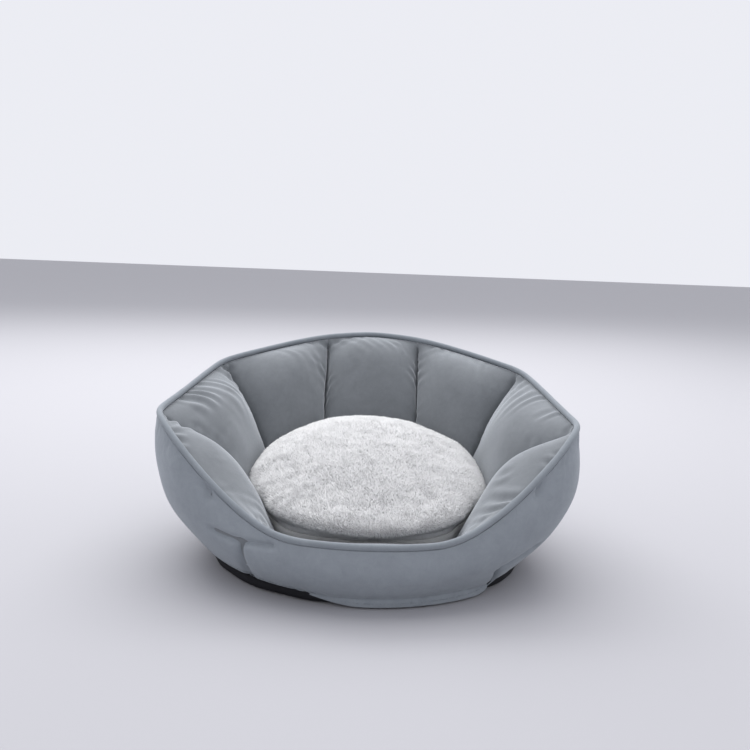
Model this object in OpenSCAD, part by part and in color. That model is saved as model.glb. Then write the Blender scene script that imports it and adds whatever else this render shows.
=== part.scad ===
// Pet cushion bed: a low-fronted oval nest of stuffed fabric pockets with a piped rim,
// a padded base with a grip underside, and a loose domed cushion with a zipped underside.
// Origin: centre of the underside. +X is the bed's right seen from its front, -Y its low
// front and +Z up. Azimuths run from the front (-Y) towards +X; the bed mirrors about X = 0.

/* [Base] */
// Width of the base at its seam with the wall
base_w = 378; // [340:1:420]
// Depth of the base at its seam with the wall
base_d = 344; // [310:1:380]
// Height of the seam between the base and the outer cover
base_h = 12; // [11:0.5:14]
// Height of the top of the base pad
pad_top = 30; // [24:1:32]

/* [Wall] */
// Height of the rim at the middle of the front
front_h = 77; // [70:1:90]
// Height of the rim at the side seams
side_h = 182; // [160:1:200]
// Height of the rim at the middle of the back
back_h = 243; // [215:1:260]
// How far the wall leans out for each millimetre that it rises
flare = 0.34; // [0.28:0.01:0.4]
// How far the outer cover swells beyond the straight lean
outer_bulge = 30; // [22:1:34]

/* [Pockets] */
// Azimuth of the seam between the front pocket and the pocket beside it
front_seam = 26.5; // [22:0.5:30]
// Azimuth of the seam at the side
side_seam = 78; // [70:0.5:84]
// Azimuth of the seam between the side and back pockets
corner_seam = 128; // [120:0.5:134]
// Azimuth of the seam beside the middle back pocket
back_seam = 165.5; // [160:0.5:168]
// Depth of filling left behind each crease
crease_wall = 22; // [16:1:26]
// Radius of the round nest that the pockets leave for the cushion
nest_r = 146; // [138:1:148]
// How far the middle of the nest lies behind the middle of the base
nest_y = 14; // [8:1:16]
// How much narrower the nest is at its floor
nest_taper = 6; // [4:1:8]

/* [Cushion] */
// Clearance between the cushion and the pockets
cushion_clear = 3; // [2.5:0.5:5]
// Height of the cushion's dome above its edge seam
dome_h = 66; // [50:1:70]
// Height of the cushion's edge seam at its middle
cushion_seam_h = 84; // [78:1:88]
// Angle by which the cushion rises towards the back
cushion_tilt = 8; // [4:0.5:8]

/* [Materials] */
// Thickness of the velvet panels and linings
cloth = 1.5; // [1:0.1:2]
// Thickness of the plush on top of the cushion, pile pressed flat
plush = 4; // [3:0.5:5]
// Clearance between layers that lie on each other
gap = 0.4; // [0.3:0.1:0.5]
// Outer radius of the rim piping
piping_r = 3.8; // [3.4:0.1:4.2]

/* [Zip] */
// Length of the row of zip teeth
zip_l = 164; // [140:4:168]
// Distance between the teeth of one side
tooth_pitch = 4; // [3.5:0.5:5]

/* [Hidden] */

velvet = [0.52, 0.55, 0.58];
velvet_lining = [0.58, 0.61, 0.63];
fibre = [0.93, 0.93, 0.9];
white_plush = [0.95, 0.95, 0.96];
grip_black = [0.05, 0.05, 0.07];
backing = [0.8, 0.8, 0.8];
zip_white = [0.88, 0.88, 0.88];
zip_metal = [0.7, 0.71, 0.72];

// Azimuths of the seams on the right half, from the front to the back
seams = [front_seam, side_seam, corner_seam, back_seam];
// Each pocket as [first seam, last seam, inner belly, straightness of its rim]. The inner
// belly is how far the pocket leans over the nest half way up; a straightness of 1 makes
// the rim a straight line between the seams and 0 lets it follow the oval.
front_pocket = [-seams[0], seams[0], 6, 0.1];
front_right_pocket = [seams[0], seams[1], 6, 0.05];
right_pocket = [seams[1], seams[2], 0, 0.8];
back_right_pocket = [seams[2], seams[3], 3, 0.9];
back_pocket = [seams[3], 360 - seams[3], 1, 0.9];
function other_side(p) = [360 - p[1], 360 - p[0], p[2], p[3]];
back_left_pocket = other_side(back_right_pocket);
left_pocket = other_side(right_pocket);
front_left_pocket = other_side(front_right_pocket);
back_six = [
    front_right_pocket, right_pocket, back_right_pocket, back_pocket,
    back_left_pocket, left_pocket, front_left_pocket
];

// The rim keeps its front height up to this azimuth
front_level = 20;
// The panels end this far below the piping's centre line
rim_drop = 5.2;
// Each panel stands this far from the middle of the piping's tail
tail_side = 0.9;
// Thickness of the grip fabric, and the levels of the floor lining's top and the pockets' feet
grip_t = 1.5;
lining_top = pad_top + gap + cloth;
floor_z = lining_top + gap;
// Half the angle between neighbouring linings, and half that of a divider
lining_gap = 0.06;
divider_half = 0.12;
// How far the lining's back and the filling draw in from a pocket's seams, as a share of its width
back_squeeze = 0.015;
fill_squeeze = 0.03;
// Rows up a panel, and columns across each pocket
rows = 9;
columns = 8;

function mix(a, b, t) = a + (b - a) * t;
function ease(t) = t * t * (3 - 2 * t);
function clamp01(t) = max(0, min(1, t));
function steps(n) = [for (i = [0 : n]) i / n];
function bezier(p, t) =
    pow(1 - t, 3) * p[0] + 3 * pow(1 - t, 2) * t * p[1] + 3 * (1 - t) * t * t * p[2] + t * t * t * p[3];

// Azimuth folded onto the right half
function fold(phi) = phi > 180 ? 360 - phi : abs(phi);

// Height of the rim: level in front, an S-curve up to the side seam, then a gentler one to the back
function rim_z(phi) =
    let (p = fold(phi))
    p < side_seam
        ? mix(front_h, side_h, ease(clamp01((p - front_level) / (side_seam - front_level))))
        : let (u = (p - side_seam) / (180 - side_seam)) mix(side_h, back_h, mix(u, ease(u), 0.6));

// How tall the wall is here: 0 at the front and 1 from the side seam round the back
function tall(phi) = clamp01((rim_z(phi) - front_h) / (side_h - front_h));

// Share of the oval's radius where the rim runs straight between a pocket's seams
function facet(phi, pocket) =
    let (half = (pocket[1] - pocket[0]) / 2, middle = (pocket[1] + pocket[0]) / 2)
    1 - pocket[3] * (1 - cos(half) / cos(phi - middle));

// How far outside the base outline the nest's round edge lies: its circle, met along the
// line from the middle of the base through the outline's point at this azimuth
function nest_off(phi) =
    let (a = base_w / 2, b = base_d / 2,
         reach = norm([a * sin(phi), b * cos(phi)]),
         up = -b * cos(phi) / reach,
         r = nest_y * up + sqrt(nest_r * nest_r - nest_y * nest_y * (1 - up * up)))
    r - reach;

function rim_off(phi) = flare * rim_z(phi);

// The back pocket keeps its width towards the nest, so azimuths beside it turn forwards there
back_spread = 5.5;
function spread(phi) =
    let (p = fold(phi))
    back_spread * (p > back_seam
        ? (180 - p) / (180 - back_seam)
        : clamp01((p - corner_seam) / (back_seam - corner_seam)));

// Point of the wall that lies off millimetres outside the base outline at height z
function place(phi, pocket, off, z) =
    let (f = mix(1, facet(phi, pocket), clamp01((z - base_h) / (rim_z(phi) - base_h))),
         inwards = clamp01((rim_off(phi) - off) / (rim_off(phi) - nest_off(phi))),
         turned = phi + (phi > 180 ? 1 : -1) * spread(phi) * ease(inwards))
    [(base_w / 2 + off) * f * sin(turned), -(base_d / 2 + off) * f * cos(turned), z];

// Outer cover, outside face
function outer_off(phi, z) =
    let (t = clamp01((z - base_h) / (rim_z(phi) - rim_drop - base_h)),
         swell = outer_bulge * mix(0.45, 1, tall(phi)))
    mix(0, rim_off(phi) + tail_side + cloth, t) + swell * sin(180 * pow(t, 0.9));

// A crease meets the cushion this far behind the nest's edge
crease_behind = 9;
// Inner face of the wall from the rim (t = 0) to the floor (t = 1), as [off, z]:
// along a seam, along the middle of a pocket, and in between
function crease_off(phi, z) =
    let (t = (rim_z(phi) - rim_drop - z) / (rim_z(phi) - rim_drop - floor_z),
         top = rim_off(phi) - tail_side - cloth,
         deep = outer_off(phi, z) - crease_wall,
         foot = nest_off(phi) + mix(crease_behind, -nest_taper, clamp01((t - 0.6) / 0.4)))
    mix(mix(top, deep, clamp01(t * 4)), foot, ease(clamp01(t / 0.65)));
function crease_line(phi, t) =
    let (z = mix(rim_z(phi) - rim_drop, floor_z, t))
    [crease_off(phi, z), z];
function belly_line(phi, pocket, t) =
    let (zr = rim_z(phi), h = tall(phi), n = nest_off(phi),
         top = rim_off(phi) - tail_side - cloth)
    bezier([
        [top, zr - rim_drop],
        [mix(top, n, mix(0.9, 0.65, h)), mix(zr + 6, zr - 2, h)],
        [n + mix(6, 14, h) - pocket[2], 0.75 * zr],
        [n - nest_taper, floor_z]
    ], t);
// How full a pocket is across its width: 0 at its seams and 1 in the middle
function fullness(phi, pocket) =
    let (half = (pocket[1] - pocket[0]) / 2, middle = (pocket[1] + pocket[0]) / 2)
    pow(1 - pow(clamp01(abs(phi - middle) / half), 2.6), 0.7);
function inner_line(phi, pocket, t) =
    mix(crease_line(phi, t), belly_line(phi, pocket, t), fullness(phi, pocket));

// Triangulated solid through a list of rings, each a closed loop of points. loop joins the
// last ring to the first; otherwise both ends are capped. The two halves of a ring are the
// two faces of a panel, and their triangles split the same way, so they stay apart.
module skin(rings, loop = false) {
    n = len(rings);
    m = len(rings[0]);
    sides = [
        for (i = [0 : loop ? n - 1 : n - 2])
            for (j = [0 : m - 1])
                let (a = i * m + j,
                     b = i * m + (j + 1) % m,
                     c = ((i + 1) % n) * m + (j + 1) % m,
                     d = ((i + 1) % n) * m + j)
                each j < m / 2 ? [[a, b, c], [a, c, d]] : [[a, b, d], [b, c, d]]
    ];
    last = (n - 1) * m;
    ends = loop ? [] : [
        for (j = [0 : m / 2 - 2])
            each [
                [j + 1, j, m - 1 - j],
                [j + 1, m - 1 - j, m - 2 - j],
                [last + j, last + j + 1, last + m - 1 - j],
                [last + j + 1, last + m - 2 - j, last + m - 1 - j]
            ]
    ];
    polyhedron(points = [for (r = rings) each r], faces = concat(sides, ends), convexity = 10);
}

// Azimuth squeezed towards the middle of a pocket
function squeeze(phi, pocket, share) = mix(phi, (pocket[0] + pocket[1]) / 2, share);

// Ring of wall points between two faces, each a list of [off, z] at one azimuth, with an
// azimuth for each face
function ring(phi_out, phi_in, pocket, outside, inside) = [
    for (p = inside) place(phi_in, pocket, p[0], p[1]),
    for (i = [len(outside) - 1 : -1 : 0]) place(phi_out, pocket, outside[i][0], outside[i][1])
];

// Azimuths across a span, closer together near its ends, where a pocket curves most
function azimuths(from, to) = [for (t = steps(columns)) mix(from, to, (1 - cos(180 * t)) / 2)];
// Azimuths across a pocket without its last seam, for panels that run on into the next pocket
function inner_azimuths(pocket) =
    let (all_phi = azimuths(pocket[0], pocket[1]))
    [for (i = [0 : columns - 1]) all_phi[i]];

// A face's line moved into the wall by depth, square to itself
function behind(face, depth) = [
    for (i = [0 : len(face) - 1])
        let (run = face[min(i + 1, len(face) - 1)] - face[max(i - 1, 0)],
             p = face[i] + depth * [-run[1], run[0]] / norm(run))
        [p[0], max(p[1], floor_z)]
];

// Velvet on the inside of one pocket
module lining(pocket) {
    color(velvet_lining)
    skin([
        for (phi = azimuths(pocket[0] + lining_gap, pocket[1] - lining_gap))
            let (face = [for (t = steps(rows)) inner_line(phi, pocket, t)])
            ring(squeeze(phi, pocket, back_squeeze), phi, pocket, behind(face, cloth), face)
    ]);
}

// Loose fibre between a pocket's lining and the outer cover. It starts below the piping's tail.
tail_l = 10;
cover_room = cloth + 2;
fill_min = 2;
module fill(pocket) {
    color(fibre)
    skin([
        for (phi = azimuths(pocket[0] + lining_gap, pocket[1] - lining_gap))
            let (inner_phi = squeeze(phi, pocket, fill_squeeze),
                 face = behind([for (t = steps(rows)) inner_line(phi, pocket, t)], cloth + gap),
                 inside = [
                     for (i = [1 : rows])
                         [min(face[i][0], outer_off(phi, face[i][1]) - cover_room - fill_min), face[i][1]]
                 ],
                 top = min(inside[0][1], rim_z(phi) - tail_l - 3),
                 outside = [
                     for (t = steps(rows - 1))
                         let (z = mix(top, floor_z, t))
                         [outer_off(phi, z) - cover_room, z]
                 ])
            ring(inner_phi, inner_phi, pocket, outside, inside)
    ]);
}

// Cloth wall behind each crease, from the lining's seam to the outer cover
divider_drop = 30;
module divider(pocket) {
    seam = pocket[0];
    heights = [for (t = steps(rows)) mix(rim_z(seam) - divider_drop, floor_z, t)];
    skin([
        for (phi = [seam - divider_half, seam + divider_half])
            ring(phi, phi, pocket,
                [for (z = heights) [outer_off(seam, z) - cover_room, z]],
                [for (z = heights) [crease_off(seam, z) + cloth + gap, z]])
    ]);
}
module pocket_dividers() {
    color(backing)
    for (pocket = concat([front_pocket], back_six))
        divider(pocket);
}

// All the azimuths round the bed, each with its pocket
round_bed = [
    for (pocket = concat([front_pocket], back_six))
        for (phi = inner_azimuths(pocket)) [phi, pocket]
];

// Outer cover over a run of pockets
function cover_ring(phi, pocket) =
    let (z_top = rim_z(phi) - rim_drop,
         face = [for (t = steps(rows)) let (z = mix(z_top, base_h + gap, t)) [outer_off(phi, z), z]])
    ring(phi, phi, pocket, face, [for (p = face) p - [cloth, 0]]);
cover_gap = 0.1;
module outer_cover_front() {
    color(velvet)
    skin([
        for (phi = azimuths(front_pocket[0] + cover_gap, front_pocket[1] - cover_gap))
            cover_ring(phi, front_pocket)
    ]);
}
module outer_cover_back() {
    color(velvet)
    skin([
        for (pocket = back_six)
            for (phi = inner_azimuths(pocket)) cover_ring(max(phi, seams[0] + cover_gap), pocket),
        cover_ring(360 - seams[0] - cover_gap, front_left_pocket)
    ]);
}

// Piping round the rim: a cord in a cover whose tail is sewn between the panels
piping_sides = 10;
piping_wall = 1.2;
function round_section(phi, r, from, to) = [
    for (i = [0 : piping_sides])
        let (a = mix(from, to, i / piping_sides))
        [rim_off(phi) + r * sin(a), rim_z(phi) - r * cos(a)]
];
tail_angle = 10;
tail_half = 0.55;
function piping_section(phi, r) = round_section(phi, r, tail_angle, 360 - tail_angle);
module piping_cord() {
    r = piping_r - piping_wall - 0.2;
    color(fibre)
    skin([
        for (step = round_bed)
            [for (p = piping_section(step[0], r)) place(step[0], step[1], p[0], p[1])]
    ], loop = true);
}
module piping_cover() {
    color(velvet)
    skin([
        for (step = round_bed)
            let (phi = step[0],
                 off = rim_off(phi),
                 tail_z = rim_z(phi) - tail_l,
                 inside = piping_section(phi, piping_r - piping_wall))
            [
                for (p = concat(
                    piping_section(phi, piping_r),
                    [[off - tail_half, tail_z], [off - 0.1, tail_z]],
                    [for (i = [piping_sides : -1 : 0]) inside[i]],
                    [[off + 0.1, tail_z], [off + tail_half, tail_z]]
                ))
                    place(phi, step[1], p[0], p[1])
            ]
    ], loop = true);
}

// Base: black grip fabric turned up at its edge, a pad on it and the nest's grey floor
module oval(inset) {
    polygon([
        for (step = round_bed)
            [(base_w / 2 - inset) * sin(step[0]), -(base_d / 2 - inset) * cos(step[0])]
    ]);
}
module base_bottom() {
    color(grip_black)
    difference() {
        hull() {
            linear_extrude(1) oval(5);
            translate([0, 0, base_h - 1]) linear_extrude(1) oval(0);
        }
        translate([0, 0, grip_t]) hull() {
            linear_extrude(1) oval(6.5);
            translate([0, 0, base_h - 1]) linear_extrude(1) oval(grip_t);
        }
    }
}
module base_pad() {
    color(fibre)
    hull() {
        translate([0, 0, grip_t + gap]) linear_extrude(1) oval(7.5);
        translate([0, 0, base_h - 1]) linear_extrude(pad_top - base_h + 1) oval(grip_t + 1.5);
    }
}
module base_lining() {
    color(velvet_lining)
    translate([0, 0, pad_top + gap]) linear_extrude(cloth) oval(grip_t + 1.5);
}

// Cushion: a dome and a flat-bottomed lower half that meet at a tilted edge seam
cushion_r = nest_r - cushion_clear;
dome_power = 3;
bowl_power = 3;
module tilted() {
    translate([0, nest_y, cushion_seam_h]) rotate([cushion_tilt, 0, 0]) children();
}
// Solid of revolution under a superellipse of radius r and height h
module bulge(r, h, power) {
    rotate_extrude($fn = 96)
    polygon([
        [0, 0],
        for (t = steps(14)) [r * pow(max(0, cos(90 * t)), 2 / power), h * pow(sin(90 * t), 2 / power)]
    ]);
}
module dome(inset) {
    tilted() translate([0, 0, gap / 2]) bulge(cushion_r - inset, dome_h - inset, dome_power);
}
// The lower half is cut flat where it lies on the nest's floor
module bowl(inset) {
    intersection() {
        tilted() translate([0, 0, -gap / 2]) mirror([0, 0, 1])
        bulge(cushion_r - inset, cushion_seam_h - inset, bowl_power);
        translate([0, 0, floor_z + inset + cushion_seam_h])
        cube([3 * cushion_r, 3 * cushion_r, 2 * cushion_seam_h], center = true);
    }
}
// Straight recess in the underside, where the zip lies
gutter_w = 32;
gutter_h = 24;
gutter_l = zip_l + 26;
module gutter(grow = 0) {
    translate([0, nest_y, floor_z + (gutter_h + grow) / 2])
    cube([gutter_l + 2 * grow, gutter_w + 2 * grow, gutter_h + grow], center = true);
}
module cushion_plush() {
    color(white_plush)
    difference() {
        dome(0);
        translate([0, 0, -0.01]) dome(plush);
    }
}
module cushion_underside() {
    color(backing)
    difference() {
        bowl(0);
        difference() {
            translate([0, 0, 0.01]) bowl(cloth);
            gutter(cloth);
        }
        gutter();
    }
}
module cushion_fill() {
    color(fibre)
    difference() {
        union() {
            dome(plush + gap);
            bowl(cloth + gap);
        }
        gutter(cloth + gap);
    }
}

// Zip, seen from below: its tapes lie under the roof of the recess and its teeth between them
chain_z = floor_z + gutter_h - 5;
tape_w = 11.9;
tape_t = 0.8;
tooth_l = 2.2;
tooth_w = 3.2;
tooth_h = 2.4;
tooth_slot = 0.75;
zip_start = -zip_l / 2;
function tooth_y(side) = nest_y + side * (tooth_slot + tooth_w / 2);
module zip_tapes() {
    color(zip_white)
    for (side = [-1, 1])
        translate([0, nest_y + side * (tooth_slot + tooth_w + 0.1 + tape_w / 2), chain_z])
        cube([zip_l + 16, tape_w, tape_t], center = true);
}
module zip_teeth() {
    color(zip_white)
    for (side = [-1, 1])
        for (x = [tooth_pitch : tooth_pitch : zip_l - tooth_pitch])
            translate([zip_start + x + side * tooth_pitch / 4, tooth_y(side), chain_z])
            cube([tooth_l, tooth_w, tooth_h], center = true);
}
module zip_stops() {
    color(zip_metal)
    for (x = [zip_start, -zip_start])
        for (side = [-1, 1])
            translate([x, tooth_y(side), chain_z])
            cube([3, tooth_w, 3], center = true);
}

// Slider: two plates and a web that runs in the slot between the rows of teeth, with a
// bridge under it that holds the pull's pin
slider_l = 11;
slider_w = 9.4;
slider_x = zip_start + tooth_pitch * 3;
plate_t = 1;
plate_z = tooth_h / 2 + 0.4;
pin_drop = 5;
pin_r = 0.8;
bridge_w = 5.2;
bridge_t = 1;
web_t = 0.8;
module zip_slider() {
    leg_h = pin_drop - plate_z + 1.2;
    color(zip_metal)
    translate([slider_x, nest_y, chain_z]) {
        for (side = [-1, 1])
            translate([0, 0, side * (plate_z + plate_t / 2)])
            cube([slider_l, slider_w, plate_t], center = true);
        cube([slider_l, web_t, 2 * plate_z + plate_t], center = true);
        for (side = [-1, 1])
            translate([0, side * (bridge_w + bridge_t) / 2, -plate_z - leg_h / 2])
            cube([3, bridge_t, leg_h], center = true);
        translate([0, 0, -pin_drop]) rotate([90, 0, 0])
        cylinder(r = pin_r, h = bridge_w + 1.6, center = true, $fn = 32);
    }
}
// Pull: an eye round the slider's pin and a flat tab with a hole
pull_l = 9;
pull_t = 1.4;
pull_w = 3.6;
eye_r = 1.9;
tab_r = 3.4;
module zip_pull() {
    color(zip_metal)
    translate([slider_x, nest_y, chain_z - pin_drop])
    difference() {
        union() {
            rotate([90, 0, 0]) cylinder(r = eye_r, h = pull_w, center = true, $fn = 32);
            translate([pull_l / 2, 0, 0]) cube([pull_l, pull_w, pull_t], center = true);
            translate([pull_l, 0, 0]) cylinder(r = tab_r, h = pull_t, center = true, $fn = 48);
        }
        rotate([90, 0, 0]) cylinder(r = pin_r + 0.15, h = 2 * pull_w, center = true, $fn = 32);
        translate([pull_l + 0.6, 0, 0]) cylinder(r = 1.4, h = 2 * pull_t, center = true, $fn = 32);
    }
}

lining(front_pocket);  // lining_front
lining(front_right_pocket);  // lining_front_right
lining(right_pocket);  // lining_right
lining(back_right_pocket);  // lining_back_right
lining(back_pocket);  // lining_back
lining(back_left_pocket);  // lining_back_left
lining(left_pocket);  // lining_left
lining(front_left_pocket);  // lining_front_left
fill(front_pocket);  // fill_front
fill(front_right_pocket);  // fill_front_right
fill(right_pocket);  // fill_right
fill(back_right_pocket);  // fill_back_right
fill(back_pocket);  // fill_back
fill(back_left_pocket);  // fill_back_left
fill(left_pocket);  // fill_left
fill(front_left_pocket);  // fill_front_left
outer_cover_front();
outer_cover_back();
pocket_dividers();
piping_cover();
piping_cord();
base_bottom();
base_pad();
base_lining();
cushion_plush();
cushion_underside();
cushion_fill();
zip_tapes();
zip_teeth();
zip_stops();
zip_slider();
zip_pull();
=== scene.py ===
# %% [markdown]
# # A pet cushion bed
# A low-fronted oval nest: eight stuffed velvet pockets stand round a loose domed plush
# cushion, with a piped rim, a smooth outer cover and a black grip base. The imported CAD
# model gives every size, body and joint; this lesson makes the cloth that one sees.

# %% Load the frame
import bpy
import math
import numpy as np
from mathutils import Matrix, Vector, noise


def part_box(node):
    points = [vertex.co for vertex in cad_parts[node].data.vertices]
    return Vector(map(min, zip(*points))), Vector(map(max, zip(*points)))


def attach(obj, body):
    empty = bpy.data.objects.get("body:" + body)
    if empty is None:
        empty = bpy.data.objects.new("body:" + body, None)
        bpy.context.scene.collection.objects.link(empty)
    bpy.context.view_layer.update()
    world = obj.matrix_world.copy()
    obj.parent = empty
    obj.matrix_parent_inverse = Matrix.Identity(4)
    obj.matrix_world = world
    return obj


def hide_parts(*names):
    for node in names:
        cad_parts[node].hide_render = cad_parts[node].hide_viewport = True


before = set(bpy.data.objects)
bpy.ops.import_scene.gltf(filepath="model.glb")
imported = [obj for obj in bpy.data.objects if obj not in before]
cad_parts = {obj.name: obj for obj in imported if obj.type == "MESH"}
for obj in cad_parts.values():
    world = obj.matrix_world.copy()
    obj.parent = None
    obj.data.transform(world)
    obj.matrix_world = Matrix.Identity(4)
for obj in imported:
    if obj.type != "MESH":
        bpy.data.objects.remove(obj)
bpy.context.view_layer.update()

scene = bpy.context.scene

# %% [markdown]
# ## Camera
# The bed is seen from in front and a little above, by a slightly long lens. The camera
# first looks straight at the origin, then turns a little up and left and rolls, so the
# bed sits low in a square frame as it does on a table in front of a window.

# %% Camera
CAMERA_DISTANCE = 1.157
CAMERA_ELEVATION = math.radians(20.8)
CAMERA_LENS = 43.2
SENSOR_WIDTH = 36.0
CAMERA_ROLL = math.radians(2.17)
ORIGIN_IN_VIEW = (-0.0108, -0.1943)


def turned_pair(first, second, angle):
    """Two upright directions turned by an angle, the first one towards the second."""
    return (
        first * math.cos(angle) + second * math.sin(angle),
        second * math.cos(angle) - first * math.sin(angle),
    )


def camera_matrix():
    """Turns a camera that looks at the origin until the origin sits at ORIGIN_IN_VIEW."""
    place = CAMERA_DISTANCE * Vector((0, -math.cos(CAMERA_ELEVATION), math.sin(CAMERA_ELEVATION)))
    right = Vector((1, 0, 0))
    ahead = -place.normalized()
    up = right.cross(ahead)
    across, high = ORIGIN_IN_VIEW
    turned_across = across * math.cos(CAMERA_ROLL) - high * math.sin(CAMERA_ROLL)
    turned_high = across * math.sin(CAMERA_ROLL) + high * math.cos(CAMERA_ROLL)
    tilt = math.atan(turned_high)
    pan = math.atan(turned_across * math.cos(tilt))
    up, ahead = turned_pair(up, ahead, tilt)
    right, ahead = turned_pair(right, ahead, pan)
    right, up = turned_pair(right, up, CAMERA_ROLL)
    turn = Matrix((right, up, -ahead)).transposed().to_4x4()
    return Matrix.Translation(place) @ turn


camera_data = bpy.data.cameras.new("camera")
camera_data.lens = CAMERA_LENS
camera_data.sensor_width = SENSOR_WIDTH
camera_data.clip_start = 0.01
camera = bpy.data.objects.new("camera", camera_data)
scene.collection.objects.link(camera)
camera.matrix_world = camera_matrix()
scene.camera = camera
print("camera at", [round(v, 3) for v in camera.matrix_world.translation])

# %% [markdown]
# ## The wall's shape
# The wall follows one rule all the way round, the same one that the CAD panels follow. At
# each azimuth, counted from the front, it has a rim height, a lean and a nest edge. A
# point of it is given by its azimuth, by how far it lies outside the base's outline and
# by its height. The lengths are in millimetres until the meshes are made.

# %% Sizes of the wall
MM = 0.001
base_low, base_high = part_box("base_bottom")
BASE_W = round((base_high.x - base_low.x) / MM)
BASE_D = round((base_high.y - base_low.y) / MM)
BASE_H = round(base_high.z / MM)
floor_low, floor_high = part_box("base_lining")
GAP = 0.4
FLOOR_Z = floor_high.z / MM + GAP
FRONT_H, SIDE_H, BACK_H = 77.0, 182.0, 243.0
FLARE = 0.34
OUTER_BULGE = 30.0
SEAMS = (26.5, 78.0, 128.0, 165.5)
FRONT_LEVEL = 20.0
CREASE_WALL = 17.0
CREASE_BEHIND = 20.0
BACK_SPREAD = 5.5
FRONT_SPREAD = 13.0
NEST_R, NEST_Y, NEST_TAPER = 146.0, 14.0, 6.0
CLOTH = 1.5
PIPING_R = 3.8
TAIL_SIDE = 0.9
RIM_DROP = 3.6
print("base, mm:", BASE_W, BASE_D, BASE_H, "floor", round(FLOOR_Z, 1))

# %% Pockets
# Each pocket: first seam, last seam, how far its belly leans in, straightness of its rim.
front_seam, side_seam, corner_seam, back_seam = SEAMS
right_pockets = [
    ("front_right", front_seam, side_seam, 6.0, 0.05),
    ("right", side_seam, corner_seam, 0.0, 0.8),
    ("back_right", corner_seam, back_seam, 3.0, 0.9),
]
left_pockets = [
    (name.replace("right", "left"), 360 - last, 360 - first, belly, straight)
    for name, first, last, belly, straight in reversed(right_pockets)
]
pockets = [
    ("front", -front_seam, front_seam, 6.0, 0.1),
    *right_pockets,
    ("back", back_seam, 360 - back_seam, 1.0, 0.9),
    *left_pockets,
]
print("pockets:", [p[0] for p in pockets])


# %% Rules that the wall follows
def mix(a, b, t):
    return a + (b - a) * t


def clamp01(t):
    return np.clip(t, 0.0, 1.0)


def ease(t):
    return t * t * (3 - 2 * t)


def fold(azimuth):
    """Azimuth from 0 at the front to 180 at the back, the same on both sides."""
    azimuth = np.mod(azimuth, 360)
    return np.minimum(azimuth, 360 - azimuth)


def signed_azimuth(azimuth):
    """Azimuth from -180 to 180, with 0 at the front and the left side negative."""
    return np.mod(np.asarray(azimuth, float) + 180, 360) - 180


def sharp_rim_height(azimuth):
    p = fold(azimuth)
    low = mix(FRONT_H, SIDE_H, ease(clamp01((p - FRONT_LEVEL) / (side_seam - FRONT_LEVEL))))
    u = clamp01((p - side_seam) / (180 - side_seam))
    high = mix(SIDE_H, BACK_H, mix(u, ease(u), 0.6))
    return np.where(p < side_seam, low, high)


def sharp_facet(azimuth):
    """Share of the oval's radius where the rim runs straight between two seams."""
    around = np.mod(np.asarray(azimuth, float) + front_seam, 360) - front_seam
    share = np.ones_like(around)
    for _, first, last, _, straight in pockets:
        half, middle = (last - first) / 2, (last + first) / 2
        inside = (around >= first) & (around <= last)
        chord = math.cos(math.radians(half)) / np.cos(np.radians(around - middle))
        share = np.where(inside, 1 - straight * (1 - chord), share)
    return share


# %% [markdown]
# Stuffed cloth can't hold a knife-sharp corner, so the two rules above are worked out
# once all the way round, smoothed over a few degrees and then looked up.

# %% Rounded rules
AROUND = np.arange(0, 360, 0.25)


def rounded(values, degrees):
    """Circular Gaussian blur of a list of values round the bed."""
    far = np.minimum(AROUND, 360 - AROUND)
    weight = np.exp(-0.5 * (far / degrees) ** 2)
    spread = np.fft.ifft(np.fft.fft(values) * np.fft.fft(weight / weight.sum()))
    return np.real(spread)


RIM_TABLE = rounded(sharp_rim_height(AROUND), 3.0)
FACET_TABLE = rounded(sharp_facet(AROUND), 3.6)


def rim_height(azimuth):
    return np.interp(np.mod(azimuth, 360), AROUND, RIM_TABLE, period=360)


def facet(azimuth):
    return np.interp(np.mod(azimuth, 360), AROUND, FACET_TABLE, period=360)


def tall(azimuth):
    """0 along the low front and 1 from the side seams round the back."""
    return clamp01((rim_height(azimuth) - FRONT_H) / (SIDE_H - FRONT_H))


def rim_offset(azimuth):
    return FLARE * rim_height(azimuth)


LEFT_LEAN, LEAN_MIDDLE, LEAN_WIDTH = 4.5, 284.0, 26.0


def nest_offset(azimuth):
    """How far outside the base's outline the nest's round edge lies."""
    rad = np.radians(azimuth)
    reach = np.hypot(BASE_W / 2 * np.sin(rad), BASE_D / 2 * np.cos(rad))
    up = -BASE_D / 2 * np.cos(rad) / reach
    return NEST_Y * up + np.sqrt(NEST_R**2 - NEST_Y**2 * (1 - up * up)) - reach


def left_lean(azimuth, z):
    """The left side is stuffed a little fuller, so it leans out by these millimetres more."""
    far = np.abs(signed_azimuth(azimuth - LEAN_MIDDLE))
    return LEFT_LEAN * np.exp(-((far / LEAN_WIDTH) ** 2)) * clamp01((z - BASE_H) / SIDE_H)


def outer_offset(azimuth, z):
    """Outside face of the outer cover."""
    azimuth = np.asarray(azimuth, float)
    t = clamp01((z - BASE_H) / (rim_height(azimuth) - RIM_DROP - BASE_H))
    swell = OUTER_BULGE * mix(0.45, 1.0, tall(azimuth))
    return (rim_offset(azimuth) + TAIL_SIDE + CLOTH) * t + swell * np.sin(np.pi * t**0.9)


def level_direction(points):
    """Unit vectors that point from the middle to each point, laid level."""
    way = points.copy()
    way[..., 2] = 0
    return way / np.linalg.norm(way, axis=-1, keepdims=True)


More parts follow.
